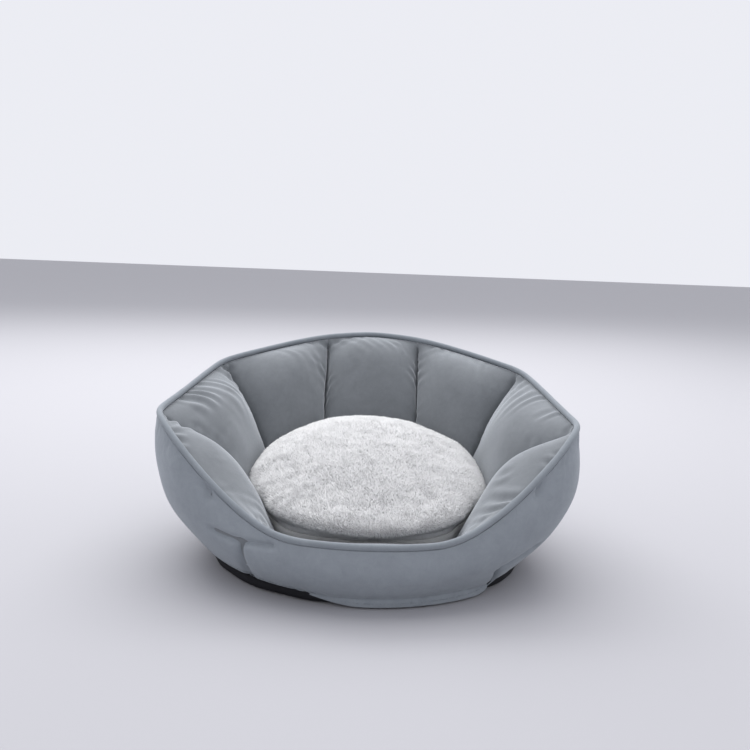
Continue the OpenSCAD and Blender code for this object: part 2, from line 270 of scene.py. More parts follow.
def place(azimuth, offset, z):
    """Point of the wall in metres, from its azimuth, its offset and its height."""
    azimuth = np.asarray(azimuth, float)
    height = clamp01((z - BASE_H) / (rim_height(azimuth) - BASE_H))
    share = mix(1.0, facet(azimuth), height)
    inwards = clamp01((rim_offset(azimuth) - offset) / (rim_offset(azimuth) - nest_offset(azimuth)))
    p = fold(azimuth)
    backwards = np.where(p > back_seam, (180 - p) / (180 - back_seam),
                         clamp01((p - corner_seam) / (back_seam - corner_seam)))
    past_front = clamp01((side_seam - p) / (side_seam - front_seam))
    forwards = np.where(p < front_seam, p / front_seam, past_front)
    side = np.where(np.mod(azimuth, 360) > 180, 1.0, -1.0)
    spread = BACK_SPREAD * backwards - FRONT_SPREAD * forwards
    turned = np.radians(azimuth + side * spread * ease(inwards))
    leaning = offset + left_lean(azimuth, z)
    x = (BASE_W / 2 + leaning) * share * np.sin(turned)
    y = -(BASE_D / 2 + leaning) * share * np.cos(turned)
    return np.stack(np.broadcast_arrays(x, y, z), axis=-1) * MM


print("rim at front, side and back, mm:", [round(float(rim_height(a))) for a in (0, 78, 180)])


# %% [markdown]
# The inside of the wall runs between two lines: a deep crease at each seam and a full
# belly in the middle of each pocket. Across a pocket, a rounded share blends the one into
# the other, so each pocket is a crowned pillow between two creases.

# %% Lines down the inside
def crease_offset(azimuth, z):
    rim = rim_height(azimuth) - RIM_DROP
    t = (rim - z) / (rim - FLOOR_Z)
    top = rim_offset(azimuth) - TAIL_SIDE - CLOTH
    deep = outer_offset(azimuth, z) - CREASE_WALL
    foot = nest_offset(azimuth) + mix(CREASE_BEHIND, -NEST_TAPER, clamp01((t - 0.6) / 0.4))
    return mix(mix(top, deep, clamp01(t * 4)), foot, ease(clamp01(t / 0.8)))


def crease_line(azimuth, t):
    z = mix(rim_height(azimuth) - RIM_DROP, FLOOR_Z, t)
    return np.stack([crease_offset(azimuth, z), z], axis=-1)


def belly_line(azimuth, belly, t):
    """Bezier curve from the piping, over the belly and down to the floor."""
    rim, high, nest = rim_height(azimuth), tall(azimuth), nest_offset(azimuth)
    top = rim_offset(azimuth) - TAIL_SIDE - CLOTH
    ends = [
        (top, rim - RIM_DROP),
        (mix(top, nest, mix(0.9, 0.65, high)), mix(rim + 6, rim - 2, high)),
        (nest + mix(6, 14, high) - belly, 0.75 * rim),
        (nest - NEST_TAPER, FLOOR_Z),
    ]
    shares = [(1 - t) ** 3, 3 * (1 - t) ** 2 * t, 3 * (1 - t) * t**2, t**3]
    return np.stack([sum(s * e[k] for s, e in zip(shares, ends)) for k in (0, 1)], axis=-1)


def inner_line(azimuth, across, belly, t):
    """across runs from -1 to 1 between the pocket's seams."""
    full = (1 - np.abs(across) ** 2.4) ** 0.55
    return mix(crease_line(azimuth, t), belly_line(azimuth, belly, t), full[..., None])


# %% [markdown]
# ## Sheets for the simulation
# The velvet is laid out as two sheets of small squares, one down the inside and one down
# the outside, both closed round the bed. Columns stand exactly on the seams, so the seams
# can be held while the rest swells.

# %% Columns and rows
COLUMN_STEP = 1.35
INNER_ROWS = 46
OUTER_ROWS = 34


def columns_round():
    """Azimuth, share across its pocket and belly of every column, and the seam columns."""
    azimuths, shares, bellies, seam_columns = [], [], [], []
    for _, first, last, belly, _ in pockets:
        count = max(16, round((last - first) / COLUMN_STEP / 2) * 2)
        seam_columns.append(len(azimuths))
        for i in range(count):
            even = i / count
            crowded = (1 - math.cos(math.pi * even)) / 2
            share = mix(even, crowded, 0.35)
            azimuths.append(mix(first, last, share))
            shares.append(2 * share - 1)
            bellies.append(belly)
    return np.array(azimuths), np.array(shares), np.array(bellies), seam_columns


column_azimuth, column_share, column_belly, seam_columns = columns_round()
COLUMNS = len(column_azimuth)
rows_in = np.linspace(0, 1, INNER_ROWS + 1)[:, None]
inner_rest = inner_line(column_azimuth[None], column_share[None], column_belly[None], rows_in)
inner_points = place(column_azimuth[None, :], inner_rest[..., 0], inner_rest[..., 1])
print("columns round the bed:", COLUMNS)

# %% [markdown]
# The outer cover hangs over the black base by a few millimetres in the middle of the
# front, where its hem is slack, and it stops at the base's seam elsewhere.

# %% Outer sheet
HEM_DROP = 9.5
HEM_LIFT = 4.0
HEM_OUT, HEM_OUT_TOP, HEM_OUT_RUN = 5.0, 30.0, 24.0
LIFT_MIDDLE, LIFT_TO_SIDES, LIFT_WIDTH = -4.0, 44.0, 20.0
HEM_FROM, HEM_FULL, HEM_ENDS, HEM_TO = -24.0, 0.0, 36.0, 56.0


def drape(azimuth):
    """1 where the hem hangs over the base and 0 where it stops at the base's seam."""
    a = signed_azimuth(azimuth)
    left = ease(clamp01((a - HEM_FROM) / (HEM_FULL - HEM_FROM)))
    right = ease(clamp01((HEM_TO - a) / (HEM_TO - HEM_ENDS)))
    return left * right


def hem_height(azimuth):
    """Height of the outer cover's lower edge."""
    a = signed_azimuth(azimuth)
    lifted = np.exp(-(((np.abs(a - LIFT_MIDDLE) - LIFT_TO_SIDES) / LIFT_WIDTH) ** 2))
    return BASE_H + HEM_LIFT * lifted * (1 - drape(a)) - HEM_DROP * drape(a)


rows_out = np.linspace(0, 1, OUTER_ROWS + 1)[:, None]
rim_z = rim_height(column_azimuth)[None, :] - RIM_DROP
outer_z = mix(rim_z, hem_height(column_azimuth)[None, :], rows_out)
outer_off = outer_offset(column_azimuth[None, :], outer_z)
low_down = clamp01((HEM_OUT_TOP - outer_z) / HEM_OUT_RUN)
outer_off += HEM_OUT * drape(column_azimuth)[None, :] * low_down
outer_points = place(column_azimuth[None, :], outer_off, outer_z)
print("outer sheet:", outer_points.shape)


# %% [markdown]
# ## Swelling the cloth
# Blender's Cloth is made for this. The seams are held, air pressure stands in for the
# fibre, and the velvet is cut a little larger than the space it fills. Where a seam holds
# the larger cloth short, it gathers, and small folds run out from the seam.

# %% Mesh helpers
def grid_faces(rows, columns, wrap, flip=False):
    """Squares between neighbouring rows; wrap joins the last column to the first."""
    faces = []
    for i in range(rows - 1):
        for j in range(columns if wrap else columns - 1):
            k = (j + 1) % columns
            face = (i * columns + j, i * columns + k, (i + 1) * columns + k, (i + 1) * columns + j)
            faces.append(face[::-1] if flip else face)
    return faces


def closed_outwards(points, faces):
    """Turns the faces of a closed form round if its volume comes out negative."""
    volume = 0.0
    for face in faces:
        a = points[face[0]]
        for k in range(1, len(face) - 1):
            volume += float(a @ np.cross(points[face[k]], points[face[k + 1]]))
    return faces if volume > 0 else [face[::-1] for face in faces]


def mesh_piece(name, points, faces, smooth=True):
    """New mesh object in the frame's own coordinates."""
    mesh = bpy.data.meshes.new(name)
    mesh.from_pydata(np.asarray(points, float).reshape(-1, 3).tolist(), [], faces)
    mesh.update()
    if smooth:
        mesh.shade_smooth()
    piece = bpy.data.objects.new(name, mesh)
    scene.collection.objects.link(piece)
    return piece


# %% Cloth helper
PRESSURE = 4.0
SWELL_FRAMES = 20


def hang_cloth(sheet, held, slack, stretch):
    """Gives a sheet its Cloth. held and slack are one weight for each vertex."""
    for name, weights in (("held", held), ("slack", slack)):
        group = sheet.vertex_groups.new(name=name)
        for index, weight in enumerate(weights):
            if weight > 0:
                group.add([index], float(weight), "REPLACE")
    cloth = sheet.modifiers.new("cloth", "CLOTH")
    settings = cloth.settings
    settings.quality = 7
    settings.mass = 0.2
    settings.tension_stiffness = 25
    settings.compression_stiffness = 25
    settings.shear_stiffness = 10
    settings.bending_stiffness = 0.35
    settings.air_damping = 2.0
    settings.vertex_group_mass = "held"
    settings.vertex_group_shrink = "slack"
    settings.shrink_min = 0.0
    settings.shrink_max = -stretch
    settings.use_pressure = True
    settings.uniform_pressure_force = PRESSURE
    settings.effector_weights.gravity = 0
    cloth.collision_settings.use_collision = False


def swell(sheets):
    """Runs the simulation of every sheet together and returns their new points."""
    scene.frame_start, scene.frame_end = 1, SWELL_FRAMES
    for frame_number in range(1, SWELL_FRAMES + 1):
        scene.frame_set(frame_number)
    depsgraph = bpy.context.evaluated_depsgraph_get()
    results = []
    for sheet in sheets:
        mesh = sheet.evaluated_get(depsgraph).data
        moved = np.empty(len(mesh.vertices) * 3)
        mesh.vertices.foreach_get("co", moved)
        results.append(moved.reshape(-1, 3))
    scene.frame_set(1)
    return results


def capped(rest, moved, cap):
    """Moves no point further than cap, and eases into that limit."""
    shift = moved - rest
    far = np.linalg.norm(shift, axis=-1, keepdims=True)
    far = np.maximum(far, 1e-9)
    return rest + shift * (cap * np.tanh(far / cap) / far)


# %% Where the cloth is held and how slack it is
MIDDLE_SLACK, SEAM_REACH = 0.45, 9.0
OUTER_SLACK, EDGE_SLACK = 0.35, 0.8
TOP_ROWS, HEM_ROWS = 6, 5


def near_seams(width):
    """1 on a seam column, falling to 0 by width degrees from it, for each column."""
    share = np.zeros(COLUMNS)
    for column in seam_columns:
        far = np.abs(signed_azimuth(column_azimuth - column_azimuth[column]))
        share = np.maximum(share, clamp01(1 - far / width))
    return share


inner_held = np.zeros((INNER_ROWS + 1, COLUMNS))
inner_held[0] = inner_held[-1] = 1
inner_held[:, seam_columns] = 1
inner_slack = np.tile(mix(MIDDLE_SLACK, 1.0, near_seams(SEAM_REACH)), (INNER_ROWS + 1, 1))
outer_held = np.zeros((OUTER_ROWS + 1, COLUMNS))
outer_held[0] = outer_held[-1] = 1
outer_slack = np.full((OUTER_ROWS + 1, COLUMNS), OUTER_SLACK)
outer_slack[:TOP_ROWS] = EDGE_SLACK
outer_slack[-HEM_ROWS:] = EDGE_SLACK

# %% [markdown]
# The outer cover has seams and tucks of its own. Each is a line between two points, given
# by azimuth and height, along which the cloth is sewn a few millimetres inwards and held.

# %% Stitched lines of the outer cover
# First point, last point, depth and half width of the dent, in degrees and millimetres.
STITCHED = [
    ((-39.0, 12), (-36.5, 64), 3.0, 4.0),
    ((-46.0, 73), (-37.0, 68), 3.0, 5.0),
    ((-37.0, 68), (-27.0, 69), 2.6, 4.5),
    ((45.0, 12), (43.5, 36), 3.0, 4.0),
    ((43.5, 36), (58.0, 54), 3.2, 6.0),
    ((-48.0, 120), (-47.0, 109), 2.6, 5.0),
    ((53.0, 133), (51.5, 122), 2.6, 5.0),
]


def dent(points, azimuth, z, narrow=1.0):
    """Presses the stitched lines into the sheet; also returns which points they hold."""
    held = np.zeros(z.shape)
    inward = level_direction(-points)
    span = (BASE_W / 2 + 20) * math.pi / 180
    a = signed_azimuth(azimuth)
    for (a0, z0), (a1, z1), depth, half in STITCHED:
        run = np.array([(a1 - a0) * span, z1 - z0])
        rel = np.stack([(a - a0) * span, z - z0], axis=-1)
        t = clamp01((rel @ run) / (run @ run))
        far = np.linalg.norm(rel - t[..., None] * run, axis=-1)
        press = depth * np.exp(-((far / (half * narrow)) ** 2)) * MM
        points = points + inward * press[..., None]
        held = np.maximum(held, far < 0.45 * half)
    return points, held


outer_azimuth = np.broadcast_to(column_azimuth, outer_z.shape)
outer_points, stitched = dent(outer_points, outer_azimuth, outer_z)
outer_held = np.maximum(outer_held, stitched)
print("points held by stitches:", int(stitched.sum()))

# %% Run the simulation
EDGE_Z, TILT_RISE = 104.0, 0.165
HEM_Z, CAP_RUN = 16 * MM, 40 * MM
INNER_STRETCH, OUTER_STRETCH = 0.09, 0.05
inner_faces = grid_faces(INNER_ROWS + 1, COLUMNS, True)
outer_faces = grid_faces(OUTER_ROWS + 1, COLUMNS, True, flip=True)
inner_sheet = mesh_piece("inner_sheet", inner_points, inner_faces)
outer_sheet = mesh_piece("outer_sheet", outer_points, outer_faces)
INNER_CAP, CUSHION_CAP, OUTER_CAP, HEM_CAP = 17 * MM, 2.5 * MM, 8 * MM, 1.5 * MM


def inner_cap(points):
    """The cushion holds the pockets back where it touches them, so they swell less there."""
    edge_z = (EDGE_Z + TILT_RISE * (points[..., 1] / MM - NEST_Y)) * MM
    above = clamp01((points[..., 2] - edge_z) / CAP_RUN)
    return mix(CUSHION_CAP, INNER_CAP, above)[..., None]


def outer_cap(points):
    """The cover can't swell near its hem, where the base holds it."""
    above = clamp01((points[..., 2] - HEM_Z) / CAP_RUN)
    return mix(HEM_CAP, OUTER_CAP, above)[..., None]


hang_cloth(inner_sheet, inner_held.ravel(), inner_slack.ravel(), INNER_STRETCH)
hang_cloth(outer_sheet, outer_held.ravel(), outer_slack.ravel(), OUTER_STRETCH)
inner_moved, outer_moved = swell([inner_sheet, outer_sheet])
print("furthest swell, mm:", [
    round(float(np.linalg.norm(new - old.reshape(-1, 3), axis=1).max() / MM), 1)
    for new, old in ((inner_moved, inner_points), (outer_moved, outer_points))
])
inner_moved = inner_moved.reshape(inner_points.shape)
outer_moved = outer_moved.reshape(outer_points.shape)
inner_points = capped(inner_points, inner_moved, inner_cap(inner_points))
outer_points = capped(outer_points, outer_moved, outer_cap(outer_points))
for sheet in (inner_sheet, outer_sheet):
    bpy.data.meshes.remove(sheet.data)

# %% Keep the swollen sheets inside the space that they have
LOWEST_HEM = 2.0
inner_points[..., 2] = np.maximum(inner_points[..., 2], FLOOR_Z * MM)
outer_points[..., 2] = np.maximum(outer_points[..., 2], LOWEST_HEM * MM)

# %% [markdown]
# ### Gathers
# The squares of the simulation are too large for the small folds that run out from the
# piping and the seams. So each pocket's panel is refined on smooth curves, and the folds
# are pressed into it: waves that run along the seam, high beside it and gone by a few
# centimetres away, with their places and heights varied by seeded noise.


# %% Refining and folding
def refined(points):
    """Twice as many rows and columns, on smooth curves through the old points."""
    for axis in (0, 1):
        p = np.moveaxis(points, axis, 0)
        padded = np.concatenate([2 * p[:1] - p[1:2], p, 2 * p[-1:] - p[-2:-1]])
        middle = (9 * (padded[1:-2] + padded[2:-1]) - padded[:-3] - padded[3:]) / 16
        finer = np.empty((2 * len(p) - 1, *p.shape[1:]))
        finer[0::2], finer[1::2] = p, middle
        points = np.moveaxis(finer, 0, axis)
    return points


def sheet_normals(points):
    down = np.gradient(points, axis=0)
    across = np.gradient(points, axis=1)
    normal = np.cross(across, down)
    return normal / np.maximum(np.linalg.norm(normal, axis=-1, keepdims=True), 1e-9)


def along(points, axis):
    """Length in millimetres from the first row or column."""
    step = np.linalg.norm(np.diff(points, axis=axis), axis=-1) / MM
    start = np.zeros_like(np.take(step, [0], axis=axis))
    return np.cumsum(np.concatenate([start, step], axis=axis), axis=axis)


def noise_field(points, size, seed):
    """Seeded Blender noise at each point, with features about size millimetres wide."""
    flat = points.reshape(-1, 3) / (size * MM)
    values = [noise.noise(Vector((p[0], p[1], p[2] + seed))) for p in flat]
    return np.array(values).reshape(points.shape[:-1])


def folds(run, far, wave, height, fade, wobble):
    """Waves that run along a seam and fade with the distance from it."""
    phase = 2 * np.pi * (run + 9 * wobble + 0.3 * far) / wave
    beside = clamp01(far / 3.0) * np.exp(-((far / fade) ** 2))
    return height * beside * np.sin(phase) * clamp01(0.35 + 2.0 * wobble)


# %% Gathers of the pockets
# Height of the folds in millimetres beside each pocket's first and last seam, and its piping.
GATHERS = {
    "front": (1.2, 1.6, 0.0),
    "front_right": (2.6, 2.2, 2.4),
    "right": (1.8, 1.6, 1.6),
    "back_right": (1.6, 1.3, 1.0),
    "back": (1.3, 1.3, 0.9),
    "back_left": (1.3, 1.6, 1.1),
    "left": (1.6, 2.4, 2.4),
    "front_left": (3.0, 1.6, 1.9),
}
FOLD_PATCH = 38
FIRST_WAVE, LAST_WAVE, RIM_WAVE = 19.0, 18.0, 19.0
SEAM_FADE, RIM_FADE = 30.0, 45.0
LUMP, LUMP_PATCH = 1.6, 55
CREASE_PULL, CREASE_WIDTH = 8.0, 4.5
FRONT_SAG, SAG_WIDTH = 7.5, 40.0


def folded_pocket(name, points):
    """Refines a pocket's panel, folds it, deepens its creases and lets the front's top sag."""
    fine = refined(points)
    down, across = along(fine, 0), along(fine, 1)
    wobble = noise_field(fine, FOLD_PATCH, 3.3)
    width, length = across[:, -1:], down[-1:, :]
    first_height, last_height, top_height = GATHERS[name]
    upper = mix(0.3, 1.0, clamp01(1.3 - 2.2 * down / length)) * clamp01(down / 4.0)
    lift = folds(down, across, FIRST_WAVE, first_height, SEAM_FADE, wobble) * upper
    lift += folds(down, width - across, LAST_WAVE, last_height, SEAM_FADE, wobble) * upper
    inside = clamp01(across / 8.0) * clamp01((width - across) / 8.0)
    lift += folds(across, down, RIM_WAVE, top_height, RIM_FADE, wobble) * inside
    lift += LUMP * noise_field(fine, LUMP_PATCH, 8.8) * clamp01(down / 15.0) * inside
    lift *= clamp01((length - down) / 12.0)
    fine = fine + sheet_normals(fine) * (lift * MM)[..., None]
    beside = np.minimum(across, width - across)
    pull = CREASE_PULL * np.exp(-((beside / CREASE_WIDTH) ** 2)) * clamp01((down - 6.0) / 14.0)
    outward = level_direction(fine - np.array([0.0, NEST_Y * MM, 0.0]))
    fine = fine + outward * (pull * clamp01((length - down) / 20.0) * MM)[..., None]
    from_front = np.degrees(np.arctan2(outward[..., 0], -outward[..., 1]))
    sag = ease(clamp01((down - 6.0) / 16.0)) * ease(clamp01((75.0 - down) / 30.0))
    fine[..., 2] -= FRONT_SAG * MM * sag * np.exp(-((from_front / SAG_WIDTH) ** 4))
    return fine


# %% [markdown]
# ## Materials
# A material is only as good as its finest detail. The velvet, the plush and the canvas
# share two effects, so each of these is a node group: nap, a soft cloudy mottling where
# the pile lies this way and that, and weave, crossing threads.

# %% Node helpers
def new_group(name, inputs, outputs):
    group = bpy.data.node_groups.new(name, "ShaderNodeTree")
    for key, value in inputs.items():
        socket = group.interface.new_socket(key, in_out="INPUT", socket_type="NodeSocketFloat")
        socket.default_value = value
    for key in outputs:
        group.interface.new_socket(key, in_out="OUTPUT", socket_type="NodeSocketFloat")
    start = group.nodes.new("NodeGroupInput")
    end = group.nodes.new("NodeGroupOutput")
    return group, start, end


def add(tree, kind, inputs=(), **settings):
    """New node with its settings made and its inputs linked or set."""
    node = tree.nodes.new(kind)
    for key, value in settings.items():
        setattr(node, key, value)
    for key, value in dict(inputs).items():
        if isinstance(value, bpy.types.NodeSocket):
            tree.links.new(value, node.inputs[key])
        else:
            node.inputs[key].default_value = value
    return node


def maths(tree, operation, a, b=None):
    inputs = {0: a} if b is None else {0: a, 1: b}
    return add(tree, "ShaderNodeMath", inputs, operation=operation).outputs[0]


def vectors(tree, operation, inputs):
    return add(tree, "ShaderNodeVectorMath", inputs, operation=operation).outputs[0]


# %% Nap group
def build_nap():
    group, start, end = new_group(
        "nap", {"Patch Size": 0.03, "Hair Size": 0.0008, "Strength": 1.0}, ["Shade", "Height"])
    place_on = add(group, "ShaderNodeTexCoord").outputs["Object"]
    patch_scale = maths(group, "DIVIDE", 1.0, start.outputs["Patch Size"])
    hair_scale = maths(group, "DIVIDE", 1.0, start.outputs["Hair Size"])
    patches = add(group, "ShaderNodeTexNoise", {
        "Vector": place_on, "Scale": patch_scale, "Detail": 4.0, "Roughness": 0.6, "Distortion": 0.6})
    stroke_scale = maths(group, "MULTIPLY", patch_scale, 4.0)
    strokes = add(group, "ShaderNodeTexNoise", {
        "Vector": place_on, "Scale": stroke_scale, "Detail": 3.0, "Roughness": 0.6, "Distortion": 1.0})
    hairs = add(group, "ShaderNodeTexNoise", {"Vector": place_on, "Scale": hair_scale, "Detail": 2.0})
    cloud = maths(group, "ADD", maths(group, "MULTIPLY", patches.outputs["Fac"], 0.6),
                  maths(group, "MULTIPLY", strokes.outputs["Fac"], 0.4))
    centred = maths(group, "SUBTRACT", cloud, 0.5)
    speckle = maths(group, "MULTIPLY", maths(group, "SUBTRACT", hairs.outputs["Fac"], 0.5), 0.35)
    signed = maths(group, "MULTIPLY", maths(group, "ADD", centred, speckle), start.outputs["Strength"])
    group.links.new(maths(group, "ADD", signed, 0.5), end.inputs["Shade"])
    group.links.new(hairs.outputs["Fac"], end.inputs["Height"])
    return group


# %% Weave group
def build_weave():
    """Threads along X and along Y or Z, whichever the surface shows."""
    group, start, end = new_group("weave", {"Thread": 0.0009}, ["Height"])
    place_on = add(group, "ShaderNodeTexCoord").outputs["Object"]
    parts = add(group, "ShaderNodeSeparateXYZ", {0: place_on})
    turn = maths(group, "DIVIDE", math.pi, start.outputs["Thread"])
    warp = maths(group, "SINE", maths(group, "MULTIPLY", parts.outputs["X"], turn))
    up = maths(group, "ADD", parts.outputs["Y"], parts.outputs["Z"])
    weft = maths(group, "SINE", maths(group, "MULTIPLY", up, turn))
    cross = maths(group, "MULTIPLY", warp, weft)
    height = maths(group, "ADD", maths(group, "MULTIPLY", cross, 0.5), 0.5)
    group.links.new(height, end.inputs["Height"])
    return group


nap_group, weave_group = build_nap(), build_weave()
print("groups:", [g.name for g in (nap_group, weave_group)])


# %% Material helper
def new_material(name):
    material = bpy.data.materials.new(name)
    material.use_nodes = True
    tree = material.node_tree
    tree.nodes.clear()
    output = tree.nodes.new("ShaderNodeOutputMaterial")
    shader = tree.nodes.new("ShaderNodeBsdfPrincipled")
    tree.links.new(shader.outputs["BSDF"], output.inputs["Surface"])
    return material, tree, shader


def two_tone(tree, share, dark, light):
    ramp = add(tree, "ShaderNodeMix", {"Factor": share}, data_type="RGBA")
    ramp.inputs[6].default_value = (*dark, 1)
    ramp.inputs[7].default_value = (*light, 1)
    return ramp.outputs[2]


def group_node(tree, group, values):
    """Node of a shared effect, with its named inputs set."""
    return add(tree, "ShaderNodeGroup", values, node_tree=group)


def dress(shader, values):
    """Sets the shader's named inputs."""
    for key, value in values.items():
        shader.inputs[key].default_value = value


def bumpy(tree, shader, height, distance, strength):
    bump = add(tree, "ShaderNodeBump", {"Height": height, "Distance": distance, "Strength": strength})
    tree.links.new(bump.outputs["Normal"], shader.inputs["Normal"])


# %% [markdown]
# ### Velvet
# Velvet is darkest where one looks straight into its pile and pale at its edges, which the
# shader's sheen gives. The nap group mottles it softly where hands have brushed it.

# %% Velvet
def velvet_material(name, dark, light, patch, sheen=0.35):
    material, tree, shader = new_material(name)
    nap = group_node(tree, nap_group, {"Patch Size": patch, "Hair Size": 0.0009, "Strength": 1.5})
    tree.links.new(two_tone(tree, nap.outputs["Shade"], dark, light), shader.inputs["Base Color"])
    dress(shader, {"Roughness": 0.9, "Specular IOR Level": 0.2, "Sheen Weight": sheen,
                   "Sheen Roughness": 0.4, "Sheen Tint": (0.86, 0.9, 0.95, 1)})
    bumpy(tree, shader, nap.outputs["Height"], 0.0006, 0.35)
    return material


# The outer cover and the lining are the same velvet. The outer copy's colours are painted lighter:
# painted light for its lit outside.
velvet = velvet_material("velvet", (0.215, 0.237, 0.262), (0.315, 0.343, 0.372), 0.05)
# The lining's colours are painted darker than the outer velvet's: painted shade for the nest's shaded
# inside, its pockets and floor.
velvet_lining = velvet_material(
    "velvet_lining", (0.138, 0.149, 0.16), (0.21, 0.224, 0.238), 0.045, sheen=0.9)
piping_velvet = velvet_material("piping", (0.19, 0.21, 0.232), (0.265, 0.29, 0.315), 0.03)


# %% Plush, plain cloth, canvas, fibre, plastic and metal
def plush_material():
    material, tree, shader = new_material("plush")
    nap = group_node(tree, nap_group, {"Patch Size": 0.02, "Hair Size": 0.002, "Strength": 1.2})
    colour = two_tone(tree, nap.outputs["Shade"], (0.83, 0.83, 0.832), (0.9, 0.9, 0.902))
    tree.links.new(colour, shader.inputs["Base Color"])
    dress(shader, {"Roughness": 0.85, "Specular IOR Level": 0.15, "Sheen Weight": 0.45,
                   "Sheen Roughness": 0.5, "Subsurface Weight": 0.5,
                   "Subsurface Radius": (1.0, 1.0, 1.0), "Subsurface Scale": 0.006})
    bumpy(tree, shader, nap.outputs["Height"], 0.001, 0.3)
    return material


def woven_material(name, dark, light, thread, roughness, distance, sheen=0.15):
    material, tree, shader = new_material(name)
    weave = group_node(tree, weave_group, {"Thread": thread})
    nap = group_node(tree, nap_group, {"Patch Size": 0.04, "Hair Size": 0.0015})
    share = maths(tree, "ADD", maths(tree, "MULTIPLY", weave.outputs["Height"], 0.5),
                  maths(tree, "MULTIPLY", nap.outputs["Shade"], 0.5))
    tree.links.new(two_tone(tree, share, dark, light), shader.inputs["Base Color"])
    dress(shader, {"Roughness": roughness, "Sheen Weight": sheen, "Specular IOR Level": 0.25})
    bumpy(tree, shader, weave.outputs["Height"], distance, 0.6)
    return material


def smooth_material(name, dark, light, metallic, roughness, grain):
    material, tree, shader = new_material(name)
    nap = group_node(tree, nap_group, {"Patch Size": grain * 12, "Hair Size": grain})
    tree.links.new(two_tone(tree, nap.outputs["Shade"], dark, light), shader.inputs["Base Color"])
    dress(shader, {"Metallic": metallic})
    rough = maths(tree, "ADD", maths(tree, "MULTIPLY", nap.outputs["Shade"], 0.2), roughness - 0.1)
    tree.links.new(rough, shader.inputs["Roughness"])
    bumpy(tree, shader, nap.outputs["Height"], 0.00005, 0.3)
    return material


plush = plush_material()
plain_cloth = woven_material(
    "plain_cloth", (0.62, 0.62, 0.61), (0.74, 0.74, 0.73), 0.0008, 0.85, 0.0002)
grip_fabric = woven_material(
    "grip_fabric", (0.006, 0.006, 0.008), (0.016, 0.016, 0.02), 0.0012, 0.8, 0.0004, sheen=0.0)
fibre_fill = woven_material(
    "fibre_fill", (0.72, 0.72, 0.68), (0.84, 0.84, 0.81), 0.003, 0.95, 0.001)
grip_dot = smooth_material("grip_dot", (0.34, 0.34, 0.36), (0.46, 0.46, 0.48), 0.0, 0.45, 0.0006)
zip_plastic = smooth_material("zip_plastic", (0.7, 0.7, 0.69), (0.8, 0.8, 0.79), 0.0, 0.35, 0.0004)
zip_metal = smooth_material("zip_metal", (0.5, 0.51, 0.53), (0.68, 0.69, 0.71), 1.0, 0.34, 0.0004)
sewing_thread = woven_material(
    "sewing_thread", (0.5, 0.5, 0.5), (0.66, 0.66, 0.66), 0.0004, 0.7, 0.0001)
print("materials:", len(bpy.data.materials))


# %% [markdown]
# ## Stuffed pockets
# Each pocket is its own pillow: the swollen velvet in front, a flat foot on the nest's
# floor and a plain back that lies against the outer cover. Making each one closed keeps
# them separate parts, and leaves a real, deep crease between neighbours.

# %% Finish helper
def finish_mesh(piece, subdivide=1):
    """Subdivides, applies every modifier and leaves a plain mesh."""
    if subdivide:
        smooth = piece.modifiers.new("smooth", "SUBSURF")
        smooth.levels = smooth.render_levels = subdivide
    depsgraph = bpy.context.evaluated_depsgraph_get()
    depsgraph.update()
    made = bpy.data.meshes.new_from_object(piece.evaluated_get(depsgraph))
    old = piece.data
    piece.modifiers.clear()
    piece.data = made
    bpy.data.meshes.remove(old)
    made.name = piece.name
    made.shade_smooth()
    return piece


def thicken(piece, thickness, offset):
    """Gives an open sheet its thickness, inwards at offset -1 and both ways at 0."""
    wall = piece.modifiers.new("thickness", "SOLIDIFY")
    wall.thickness = thickness
    wall.offset = offset
    finish_mesh(piece, 0)


def loops_piece(name, loops):
    """Skin over closed loops of points, with a strip of squares across each end."""
    number, count = loops.shape[:2]
    faces = grid_faces(number, count, True)
    start = (number - 1) * count
    for j in range(count // 2 - 1):
        pair = (j, j + 1, count - 2 - j, count - 1 - j)
        faces.append(pair)
        faces.append(tuple(start + k for k in pair[::-1]))
    points = loops.reshape(-1, 3)
    return mesh_piece(name, points, closed_outwards(points, faces))


# %% Pillows
FOOT_ROWS = 4
BACK_ROWS = 15
COVER_ROOM = 5.0
FOOT_LIFT, BACK_DROP = 1.5, 9.0


def pillow_loops(panel, azimuths):
    """Closed loop of points for each column of the panel: front, foot and back."""
    loops = []
    for column, azimuth in enumerate(azimuths):
        front = panel[:, column]
        top_z = float(rim_height(azimuth)) - BACK_DROP
        back_z = np.linspace(FLOOR_Z + FOOT_LIFT, top_z, BACK_ROWS)
        behind = outer_offset(azimuth, back_z) - COVER_ROOM
        back = place(np.full(BACK_ROWS, azimuth), behind, back_z)
        share = (np.arange(1, FOOT_ROWS + 1) / (FOOT_ROWS + 1))[:, None]
        foot = mix(front[-1], back[0], share)
        foot[:, 2] = FLOOR_Z * MM
        loops.append(np.concatenate([front, foot, back]))
    return np.array(loops)


def refined_columns(first, last):
    """Columns from first to last round the bed, and the azimuths of twice as many."""
    columns = [c % COLUMNS for c in range(first, last + 1)]
    azimuths = np.unwrap(column_azimuth[columns], period=360)
    finer = np.arange(2 * len(columns) - 1) / 2
    return columns, np.interp(finer, np.arange(len(columns)), azimuths)


pillows, panels = [], []
for number, (name, *_rest) in enumerate(pockets):
    first = seam_columns[number]
    last = seam_columns[number + 1] if number + 1 < len(pockets) else COLUMNS
    columns, azimuths = refined_columns(first, last)
    panel = folded_pocket(name, inner_points[:, columns])
    pillow = loops_piece("pocket_" + name, pillow_loops(panel, azimuths))
    pillow.data.materials.append(velvet_lining)
    pillows.append(pillow)
    panels.append(panel)
print("pillows:", [(p.name, len(p.data.polygons)) for p in pillows[:2]])

# %% [markdown]
# ## Outer cover
# Two shells of velvet, sewn to each other at the two front seams. Solidify gives them the
# cloth's thickness inwards, so the outside stays where the simulation left it.

